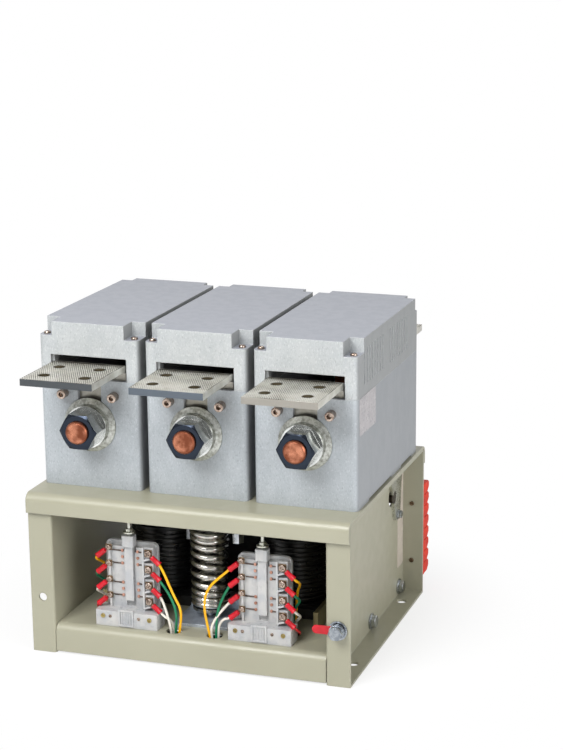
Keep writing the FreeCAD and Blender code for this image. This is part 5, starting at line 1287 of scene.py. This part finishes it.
@dataclass
class Springs:
    """Return spring of the armature and the contact spring of each pole."""

    shop: Workshop
    return_turns: float = 10.0
    return_wire: float = 3.3 * MM
    contact_turns: float = 5.5
    contact_wire: float = 1.1 * MM
    close_up: float = 0.35
    closed_share: float = 0.942

    def tree(self) -> Growth:
        """Makes the tree: a helix with nearly closed end turns, laid over by a turn about X."""
        growth = Growth(
            "coil_spring",
            turns=8.0,
            radius=0.02,
            wire=0.003,
            rise=0.08,
            lay=0.0,
            close_up=self.close_up,
        )
        sizes = {
            "Resolution": 40,
            "Rotations": growth.input("turns"),
            "Start Radius": growth.input("radius"),
            "End Radius": growth.input("radius"),
            "Height": growth.input("rise"),
        }
        spiral = growth.node("CurveSpiral", sizes)
        along = growth.node("SplineParameter", {}, "Factor")
        wave = growth.work("SINE", growth.work("MULTIPLY", along, math.tau))
        size = growth.work("MULTIPLY", growth.input("rise"), growth.input("close_up"))
        shift = growth.work("MULTIPLY", growth.work("MULTIPLY", wave, size), -1.0 / math.tau)
        offset = growth.node("ShaderNodeCombineXYZ", {"Z": shift})
        spiral = growth.node("SetPosition", {"Geometry": spiral, "Offset": offset})
        sizes = {"Resolution": 14, "Radius": growth.input("wire")}
        feeds = {
            "Curve": spiral,
            "Profile Curve": growth.node("CurvePrimitiveCircle", sizes),
            "Fill Caps": True,
        }
        body = growth.node("SetShadeSmooth", {"Geometry": growth.node("CurveToMesh", feeds)})
        turn = growth.node("ShaderNodeCombineXYZ", {"X": growth.input("lay")})
        growth.plant(growth.node("Transform", {"Geometry": body, "Rotation": turn}))
        return growth

    def build(self) -> None:
        """Makes the four springs."""
        growth = self.tree()
        finish = self.shop.finishes.get("spring_steel")
        low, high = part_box("return_spring")
        foot = Vector(((low.x + high.x) / 2, (low.y + high.y) / 2, low.z + self.return_wire))
        mesh = growth.grow(
            spots_mesh("foot", [foot]),
            finish,
            turns=self.return_turns,
            radius=(high.x - low.x) / 2 - self.return_wire,
            wire=self.return_wire,
            rise=high.z - low.z - 2 * self.return_wire,
        )
        piece = self.shop.add("return_spring_coil", mesh, "spring_steel", "return_spring")
        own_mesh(piece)
        for pole in (1, 2, 3):
            node = "contact_spring_%d" % pole
            low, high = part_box(node)
            foot = Vector(((low.x + high.x) / 2, high.y - self.contact_wire, (low.z + high.z) / 2))
            mesh = growth.grow(
                spots_mesh("foot", [foot]),
                finish,
                turns=self.contact_turns,
                radius=(high.x - low.x) / 2 - self.contact_wire,
                wire=self.contact_wire,
                rise=high.y - low.y - 2 * self.contact_wire,
                lay=math.pi / 2,
            )
            body = Body("stem_%d" % pole)
            self.shop.add(node + "_coil", mesh, "spring_steel", node, body=body)


def swept(name: str, routes: list[list[Vector]], steps: int, radius: float = 0.0) -> Mesh:
    """Smooth NURBS routes as a mesh.

    Args:
        name: Name of the curve.
        routes: Control points of each route.
        steps: Points for each control point.
        radius: Radius of a round wire along the routes, or zero for plain lines.

    Returns:
        The raw mesh of all the routes.
    """
    curve = bpy.data.curves.new(name, "CURVE")
    curve.dimensions = "3D"
    for route in routes:
        spline = curve.splines.new("NURBS")
        spline.points.add(len(route) - 1)
        for point, place in zip(spline.points, route):
            point.co = (*place, 1.0)
        spline.order_u = 3
        spline.use_endpoint_u = True
    curve.resolution_u = steps
    if radius > 0:
        curve.bevel_depth = radius
        curve.bevel_resolution = 4
        curve.use_fill_caps = True
    helper = bpy.data.objects.new(name, curve)
    mesh = bpy.data.meshes.new_from_object(helper)
    bpy.data.objects.remove(helper)
    return mesh


def round_runs(name: str, routes: list[list[Vector]], radius: float) -> Mesh:
    """Round wires along smooth routes, as one mesh with its doubles merged."""
    work = bmesh.new()
    work.from_mesh(swept(name, routes, 10, radius))
    bmesh.ops.remove_doubles(work, verts=work.verts, dist=DOUBLES)
    return to_mesh(work, name, 50.0)


def in_metres(run: tuple | list) -> list[Vector]:
    """The points of a run, given in millimetres, in metres."""
    return [Vector(point) * MM for point in run]


@dataclass
class FlexibleLinks:
    """Laminated copper links that bend between the rear busbars and the moving stems."""

    cad: CadFrame
    shop: Workshop
    layers: int = 6
    layer: float = 0.55 * MM
    gap: float = 0.12 * MM
    clamp: float = 30 * MM
    corner_drop: float = 8 * MM
    corner_run: float = 6 * MM
    foot: float = 3 * MM
    fixed_end: float = 10 * MM
    moving_end: float = 2 * MM
    steps: int = 12

    def ribbon(self, line: list[Vector], low: float, high: float) -> bmesh.types.BMesh:
        """Builds the stack of strips along a line in the YZ plane.

        Args:
            line: Inner face of the innermost strip.
            low: Left edge of the strips.
            high: Right edge of the strips.

        Returns:
            The stack.
        """
        work = bmesh.new()
        normals = []
        for index in range(len(line)):
            ahead = line[min(index + 1, len(line) - 1)] - line[max(index - 1, 0)]
            ahead.normalize()
            normals.append(Vector((0.0, -ahead.z, ahead.y)))
        for number in range(self.layers):
            near = number * (self.layer + self.gap)
            far = near + self.layer
            loops = []
            for spot, normal in zip(line, normals):
                corners = []
                for x, out in ((low, near), (high, near), (high, far), (low, far)):
                    place = spot + normal * out
                    corners.append(work.verts.new((x, place.y, place.z)))
                loops.append(corners)
            skin(work, loops)
        return work

    def route(self, low: Vector, high: Vector, bend: float) -> list[Vector]:
        """Control points of a link, from its rear foot over the top and down to its clamp.

        Args:
            low: Lowest corner of the solid that it stands for.
            high: Highest corner of that solid.
            bend: Place along Y of the front leg.

        Returns:
            The control points, in the YZ plane.
        """
        total = self.layers * (self.layer + self.gap)
        points = (
            (high.y, low.z),
            (high.y, high.z - self.corner_drop),
            (high.y - self.corner_run, high.z),
            ((high.y + bend) / 2, high.z),
            (bend + self.corner_run, high.z),
            (bend, high.z - self.corner_drop),
            (bend, low.z + self.foot + total),
            (bend - self.foot, low.z + total),
            (low.y, low.z + total),
        )
        return [Vector((0.0, y, z)) for y, z in points]

    def build(self) -> None:
        """Makes the three links."""
        boxes = sorted(self.cad.solids("flexible_links"), key=lambda box: box[0].x)
        for pole, (low, high) in enumerate(boxes, 1):
            name = "flexible_link_%d" % pole
            bend = low.y + self.clamp
            middle_line = swept(name, [self.route(low, high, bend)], self.steps)
            line = [vert.co.copy() for vert in middle_line.vertices]
            mesh = to_mesh(self.ribbon(line, low.x, high.x), name)
            piece = self.shop.add(
                name, mesh, "copper", "flexible_links", body=None, finish="link_copper"
            )
            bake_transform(piece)


# Control points in millimetres of the wires between the switches, by the side of the
# switch (-1 is the left one) and the row of the lug, from the lowest.
INNER_ROUTES = {
    (-1, 3): ((-21.3, -131.5, 71.9), (-13.4, -130.5, 57.0), (-15.6, -128.5, 38.0), (-18.5, -128.0, 22.0)),
    (-1, 2): ((-22.3, -132.5, 67.6), (-18.6, -130.5, 50.7), (-21.0, -127.5, 34.0), (-22.5, -127.5, 22.0)),
    (-1, 1): ((-29.9, -130.5, 51.5), (-26.5, -129.5, 38.0), (-25.5, -127.5, 22.0)),
    (-1, 0): ((-31.5, -129.5, 46.0), (-26.5, -126.5, 42.0), (-24.0, -125.5, 34.0), (-24.0, -125.5, 22.0)),
    (1, 3): ((15.5, -131.5, 84.2), (11.8, -131.5, 62.4), (15.0, -129.5, 42.0), (18.5, -128.5, 22.0)),
    (1, 2): ((26.8, -130.5, 63.0), (23.8, -128.5, 40.0), (23.5, -127.5, 22.0)),
    (1, 1): ((24.5, -130.5, 52.5), (17.5, -129.5, 38.0), (20.0, -127.5, 22.0)),
    (1, 0): ((32.3, -129.5, 51.9), (25.0, -127.5, 40.0), (26.2, -126.5, 22.0)),
}
# How a wire bows round the outside of a switch: outwards and down in millimetres from
# where it leaves its lug, with the share of its way back to the hole.
OUTER_BOW = ((2, 0.25, 5), (-1, 0.6, 11))
# Black sleeves under the base plate, from each wire hole to where they join.
BRANCHES = (
    ((-22.5, -128.5, 24.0), (-22.5, -128.5, 14.0), (-22.5, -93.5, 14.0), (-22.5, -101.5, 14.0)),
    ((22.5, -128.5, 24.0), (22.5, -128.5, 14.0), (22.5, -93.5, 14.0), (22.5, -101.5, 14.0)),
    ((-98.0, -101.5, 24.0), (-98.0, -101.5, 14.0), (-88.0, -101.5, 14.0), (-60.0, -101.5, 14.0)),
    ((98.0, -101.5, 24.0), (98.0, -101.5, 14.0), (98.0, -92.0, 14.0), (96.0, -62.0, 14.0)),
)
# The thick sleeve that runs along the right side and up behind the terminal block.
TRUNK = (
    (-60.0, -101.5, 14.0),
    (40.0, -101.5, 14.0),
    (78.0, -82.0, 14.0),
    (114.0, -46.0, 14.0),
    (118.0, -20.0, 14.0),
    (118.0, 130.0, 14.0),
    (118.0, 146.5, 14.0),
    (132.0, 147.0, 18.0),
    (145.2, 146.5, 34.0),
    (145.2, 146.5, 60.0),
    (145.2, 146.5, 126.0),
)
# A wire's end between the trunk and the block, at the height of its way.
BLOCK_END = ((145.2, 146.5, -4.0), (147.5, 149.5, -1.0), (149.0, 148.0, 0.0), (151.6, 146.5, 0.0))
INNER_COLOURS = ("white", "white", "green", "yellow")
OUTER_COLOURS = ("red", "white", "green", "yellow")
# Outline in millimetres of a fork lug's tongue, its slot round the screw at zero.
FORK = (
    (-3.2, 1.6),
    (0.2, 1.6),
    (1.4, 1.1),
    (1.8, 0.0),
    (1.4, -1.1),
    (0.2, -1.6),
    (-3.2, -1.6),
    (-3.2, -3.0),
    (1.8, -3.2),
    (4.6, -1.8),
    (8.5, -1.5),
    (8.5, 1.5),
    (4.6, 1.8),
    (1.8, 3.2),
    (-3.2, 3.0),
)
# Rings of a lug's sleeve: distance from the screw, radius and flatness.
SLEEVE = (
    (5.0, 1.4, 1.0),
    (5.2, 2.5, 0.95),
    (6.3, 2.9, 0.95),
    (8.6, 2.85, 0.8),
    (10.6, 2.9, 0.72),
    (12.8, 2.8, 0.85),
    (14.8, 3.0, 1.0),
    (16.4, 3.3, 1.0),
    (16.7, 2.8, 1.0),
    (15.8, 1.5, 1.0),
)


@dataclass
class Wiring:
    """Fork lugs, coloured control wires and their black sleeves."""

    cad: CadFrame
    shop: Workshop
    stamper: Stamper
    droop: float = math.radians(40.0)
    wire: float = 1.35 * MM
    branch: float = 4.3 * MM
    trunk: float = 5.3 * MM
    fork_thick: float = 0.8 * MM
    sleeve_sides: int = 20
    lug_end: float = 15.8 * MM
    lug_axis: float = 2.2 * MM
    lug_stand: float = 1.0 * MM
    ledge: float = 50 * MM
    below: float = 22 * MM
    outer_x: float = 98.0 * MM
    outer_y: float = -101.5 * MM
    outer_spread: float = 1.8 * MM
    outer_stagger: float = 1.5 * MM
    outer_mouth: float = 38 * MM
    approach: float = 3 * MM
    approach_drop: float = 22 * MM
    approach_low: float = 44 * MM
    lug_overlap: float = 2 * MM
    straight: float = 5.0
    block_low: float = 18.0
    block_pitch: float = 13.6
    block_ways: int = 8

    def fork(self) -> Mesh:
        """Tongue of a fork lug, its slot open towards the screw's far side."""
        work = bmesh.new()
        loops = []
        for y in (0.0, -self.fork_thick):
            loops.append([work.verts.new((a * MM, y, b * MM)) for a, b in FORK])
        skin(work, loops)
        ends = [face for face in work.faces if len(face.verts) > 4]
        bmesh.ops.triangulate(work, faces=ends)
        return to_mesh(work, "fork")

    def sleeve(self) -> Mesh:
        """Flared and crimped insulating sleeve of a lug."""
        work = bmesh.new()
        loops = []
        for along, radius, flat in SLEEVE:
            loop = []
            for step in range(self.sleeve_sides):
                turn = math.tau * step / self.sleeve_sides
                y = -self.lug_axis + radius * MM * flat * math.sin(turn)
                loop.append(work.verts.new((along * MM, y, radius * MM * math.cos(turn))))
            loops.append(loop)
        skin(work, loops)
        return to_mesh(work, "sleeve")

    def places(self) -> list[tuple[int, int, int, Vector]]:
        """Each lug's switch side, the side of the switch it is on, its row and its place."""
        rows: dict[tuple[int, int], list[Vector]] = {}
        for low, high in self.cad.solids("aux_screws"):
            centre = halfway(low, high)
            if centre.z < self.ledge:
                continue
            side = 1 if centre.x > 0 else -1
            plunger = halfway(*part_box("aux_plunger_left" if side < 0 else "aux_plunger_right"))
            way = 1 if centre.x > plunger.x else -1
            spot = Vector((centre.x, high.y + self.lug_stand, centre.z))
            rows.setdefault((side, way), []).append(spot)
        found = []
        for (side, way), spots in sorted(rows.items()):
            for row, spot in enumerate(sorted(spots, key=lambda place: place.z)):
                found.append((side, way, row, spot))
        return found

    def outer_route(self, side: int, row: int, end: Vector) -> list[Vector]:
        """Control points of a wire that goes round the outside of a switch.

        Args:
            side: Side of the switch, -1 for the left one.
            row: Row of its lug, from the lowest.
            end: Where the wire leaves the lug's line.

        Returns:
            The control points, down to the hole behind the switch.
        """
        hole_x = self.outer_x * side + self.outer_spread * (row - 1.5)
        hole_y = self.outer_y + (self.outer_stagger if row % 2 else -self.outer_stagger)
        deep = hole_y - end.y
        points = []
        for out, share, drop in OUTER_BOW:
            points.append(end + Vector((side * out * MM, deep * share, -drop * MM)))
        level = max(end.z - self.approach_drop, self.approach_low)
        points.append(Vector((hole_x + side * self.approach, hole_y - self.approach, level)))
        points.append(Vector((hole_x, hole_y, self.outer_mouth)))
        points.append(Vector((hole_x, hole_y, self.below)))
        return points

    def lugs(self, lugs: list[tuple[int, int, int, Vector]]) -> None:
        """Makes the forks and the sleeves of the lugs, which all droop away from their screws."""
        spots = [spot for _, _, _, spot in lugs]
        turns = []
        for _, way, _, _ in lugs:
            turns.append(Vector((0.0, self.droop if way > 0 else math.pi - self.droop, 0.0)))
        for name, small, finish in (
            ("lug_forks", self.fork(), "zinc"),
            ("lug_sleeves", self.sleeve(), "lug_red"),
        ):
            mesh = self.stamper.stamp(small, spots, turns, self.shop.finishes.get(finish))
            self.shop.add(name, mesh, finish, "wire_lugs")

    def insulated(self, name: str, routes: list[list[Vector]], radius: float, finish: str) -> None:
        """Adds a piece of round wires or sleeves along smooth routes."""
        mesh = round_runs(name, routes, radius)
        self.shop.add(name, mesh, "wire_insulation", "control_wires", finish=finish)

    def build(self) -> None:
        """Makes the lugs, the wires and the sleeves."""
        lugs = self.places()
        self.lugs(lugs)
        runs: dict[str, list[list[Vector]]] = {}
        for side, way, row, spot in lugs:
            heading = Vector((way * math.cos(self.droop), 0.0, -math.sin(self.droop)))
            inside = heading * (self.lug_end - self.lug_overlap)
            start = spot + Vector((0.0, -self.lug_axis, 0.0)) + inside
            end = start + heading * self.straight * MM
            if side == way:
                colour = OUTER_COLOURS[row]
                rest = self.outer_route(side, row, end)
            else:
                colour = INNER_COLOURS[row]
                rest = in_metres(INNER_ROUTES[(side, row)])
            runs.setdefault(colour, []).append([start, end] + rest)
        for colour, routes in runs.items():
            self.insulated(colour + "_wires", routes, self.wire, "wire_" + colour)
        self.sleeves()

    def sleeves(self) -> None:
        """Black sleeves under the base plate, the trunk to the rear block and its short ends."""
        branches = [in_metres(run) for run in BRANCHES]
        ends = []
        for way in range(self.block_ways):
            z = self.block_low + self.block_pitch * (way + 0.5)
            ends.append(in_metres([(x, y, z + up) for x, y, up in BLOCK_END]))
        self.insulated("wire_branches", branches, self.branch, "sleeve_black")
        self.insulated("wire_trunk", [in_metres(TRUNK)], self.trunk, "sleeve_black")
        self.insulated("block_wire_ends", ends, self.wire, "wire_white")


@dataclass
class BarePlates:
    """Plates that carry no marking: one on the right pole's side, one on the right web."""

    shop: Workshop
    flange: float = 23.5 * MM
    thick: float = 0.25 * MM
    corner: float = 2 * MM

    def build(self) -> None:
        """Makes both plates."""
        _, pole_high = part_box("pole_body_3")
        _, frame_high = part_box("side_frame_right")
        web = frame_high.x - self.flange
        for name, finish, x, y, z, half_y, half_z in (
            ("side_plate", "plate_silver", pole_high.x, -78.0, 271.5, 28.5, 19.5),
            ("web_strip", "plate_pale", web, 118.5, 92.5, 11, 57.5),
        ):
            mesh = plate_mesh(name, half_z * MM, half_y * MM, self.thick, self.corner)
            place = Matrix.Translation((x, y * MM, z * MM))
            mesh.transform(place @ Matrix.Rotation(math.pi / 2, 4, "Y"))
            self.shop.add(name, mesh, "cover_moulding", finish=finish)


class Dresser:
    """Gives the carried-over CAD nodes their finishes."""

    special = {
        "armature_plate": "armature_steel",
        "magnet_cores": "armature_steel",
        "spring_bracket": "zinc_blue",
        "stem_nuts": "nut_zinc",
        "stem_washers": "washer_zinc",
        "earth_bolt": "zinc_dark",
        "control_wires": "sleeve_black",
        "flexible_links": "link_copper",
    }

    def __init__(self, cad: CadFrame, finishes: Finishes) -> None:
        """Keeps the nodes and the finishes.

        Args:
            cad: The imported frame.
            finishes: The finishes to pick from.
        """
        self.cad = cad
        self.finishes = finishes

    def dress_all(self) -> None:
        """Puts the finish of each node's material slot on it, or its own where it has one."""
        for entry in self.cad.record["subparts"]:
            node = entry["node"]
            finish = self.special.get(node, entry["material_slot"])
            if finish in self.finishes.made:
                slots = self.cad.nodes[node].data.materials
                slots.clear()
                slots.append(self.finishes.get(finish))


@dataclass
class Studio:
    """Pale floor, soft lamps and the camera."""

    eye: tuple[float, float, float] = (0.7046, -1.8563, 0.7923)
    azimuth: float = 15.80
    elevation: float = 14.19
    roll: float = 0.28
    focal_px: float = 1911.9
    centre_px: tuple[float, float] = (396.0, 361.7)
    picture_px: tuple[int, int] = (563, 750)
    sensor: float = 36.0
    lamp_aim: tuple[float, float, float] = (0.0, 0.0, 0.18)
    floor_half: float = 15.0
    floor_tone: Colour = (0.93, 0.93, 0.93)
    floor_near: float = 0.16
    floor_far: float = 0.36
    floor_share: float = 0.72
    sky_low: float = 0.10
    sky_high: float = 0.40
    sky_gloss: float = 1.4
    sky_lean: float = 0.8
    sky_span: tuple[float, float] = (-0.95, 0.1)

    def camera(self) -> None:
        """Makes the camera at the photograph's viewpoint."""
        turn = math.radians(self.azimuth)
        tilt = math.radians(self.elevation)
        spin = math.radians(self.roll)
        ahead = -math.cos(turn) * math.cos(tilt)
        back = Vector((math.sin(turn) * math.cos(tilt), ahead, math.sin(tilt)))
        level = Vector((math.cos(turn), math.sin(turn), 0.0))
        above = back.cross(level)
        right = level * math.cos(spin) + above * math.sin(spin)
        up = -level * math.sin(spin) + above * math.cos(spin)
        wide, tall = self.picture_px
        data = bpy.data.cameras.new("camera")
        data.sensor_fit = "VERTICAL"
        data.sensor_height = self.sensor
        data.lens = self.focal_px * self.sensor / tall
        data.shift_x = (wide / 2 - self.centre_px[0]) / tall
        data.shift_y = (self.centre_px[1] - tall / 2) / tall
        data.clip_end = 100.0
        camera = bpy.data.objects.new("camera", data)
        axes = Matrix((right, up, back)).transposed().to_4x4()
        axes.translation = Vector(self.eye)
        camera.matrix_world = axes
        bpy.context.scene.collection.objects.link(camera)
        bpy.context.scene.camera = camera

    def floor(self) -> None:
        """Makes a wide pale floor that turns plain white away from the object."""
        mesh = bpy.data.meshes.new("floor")
        half = self.floor_half
        corners = [(-half, -half, 0), (half, -half, 0), (half, half, 0), (-half, half, 0)]
        mesh.from_pydata(corners, [], [(0, 1, 2, 3)])
        floor = bpy.data.objects.new("floor", mesh)
        bpy.context.scene.collection.objects.link(floor)
        graph = Graph("floor_white")
        graph.set(Base_Color=self.floor_tone, Roughness=0.9, Specular_IOR_Level=0.1)
        glow = graph.node("Emission", {"Color": (1.0, 1.0, 1.0)}, "Emission")
        away = graph.node("VectorMath", {0: graph.place}, "Value", operation="LENGTH")
        far = graph.ramp(away, self.floor_near, self.floor_far, self.floor_share, 1.0)
        seen = graph.node("LightPath", {}, "Is Camera Ray")
        share = graph.work("MULTIPLY", far, seen)
        feeds = {0: share, 1: graph.shader.outputs["BSDF"], 2: glow}
        graph.feed(graph.output.inputs["Surface"], graph.node("MixShader", feeds, "Shader"))
        mesh.materials.append(graph.material)

    def lamp(self, name: str, where: tuple, size: float, power: float) -> None:
        """Makes one soft square lamp that looks at the object's middle.

        Args:
            name: Name of the lamp.
            where: Its place in metres.
            size: Its side in metres.
            power: Its power in watts.
        """
        data = bpy.data.lights.new(name, "AREA")
        data.shape = "SQUARE"
        data.size = size
        data.energy = power
        lamp = bpy.data.objects.new(name, data)
        spot = Vector(where)
        aim = Vector(self.lamp_aim) - spot
        turned = aim.to_track_quat("-Z", "Y").to_matrix().to_4x4()
        lamp.matrix_world = Matrix.Translation(spot) @ turned
        bpy.context.scene.collection.objects.link(lamp)

    def world(self) -> None:
        """Makes a pale sky that is dimmer low on the camera's side, so that metal has contrast."""
        world = bpy.data.worlds.new("sky")
        world.use_nodes = True
        tree = Tree(world.node_tree)
        sky = world.node_tree.nodes["Background"]
        way = tree.node("TexCoord", {}, "Generated")
        high = tree.node("SeparateXYZ", {0: way}, "Z")
        ahead = tree.node("SeparateXYZ", {0: way}, "Y")
        lean = tree.work("MULTIPLY_ADD", high, self.sky_lean, ahead)
        level = tree.ramp(lean, *self.sky_span, self.sky_low, self.sky_high)
        glossy = tree.node("LightPath", {}, "Is Glossy Ray")
        gloss = tree.work("MULTIPLY_ADD", glossy, self.sky_gloss, 1.0)
        seen = tree.node("LightPath", {}, "Is Camera Ray")
        lit = tree.work("MAXIMUM", tree.work("MULTIPLY", level, gloss), seen)
        tree.feed(sky.inputs["Color"], (1.0, 1.0, 1.0))
        tree.feed(sky.inputs["Strength"], lit)
        bpy.context.scene.world = world

    def build(self) -> None:
        """Makes the whole studio."""
        bpy.context.scene.view_settings.view_transform = "Standard"
        self.camera()
        self.floor()
        self.world()
        self.lamp("key", (-0.3, -1.25, 1.35), 0.9, 29.0)
        self.lamp("fill", (2.3, -1.0, 0.9), 1.6, 33.0)
        self.lamp("top", (0.2, 0.6, 2.6), 1.6, 3.0)


def main() -> None:
    """Builds everything in order."""
    logging.basicConfig(level=logging.INFO, format="%(message)s")
    bpy.ops.wm.read_factory_settings(use_empty=True)
    cad = CadFrame(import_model())
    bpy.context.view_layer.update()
    finishes = Finishes()
    shop = Workshop(finishes)
    stamper = Stamper()
    Dresser(cad, finishes).dress_all()
    Studio().build()
    fasteners = Fasteners(cad, shop, stamper, random.Random(7))
    fasteners.covers()
    fasteners.busbars()
    fasteners.switches()
    fasteners.contacts()
    fasteners.terminal_block()
    Knurling(shop).build()
    Springs(shop).build()
    FlexibleLinks(cad, shop).build()
    Wiring(cad, shop, stamper).build()
    BarePlates(shop).build()


if __name__ == "__main__":
    main()
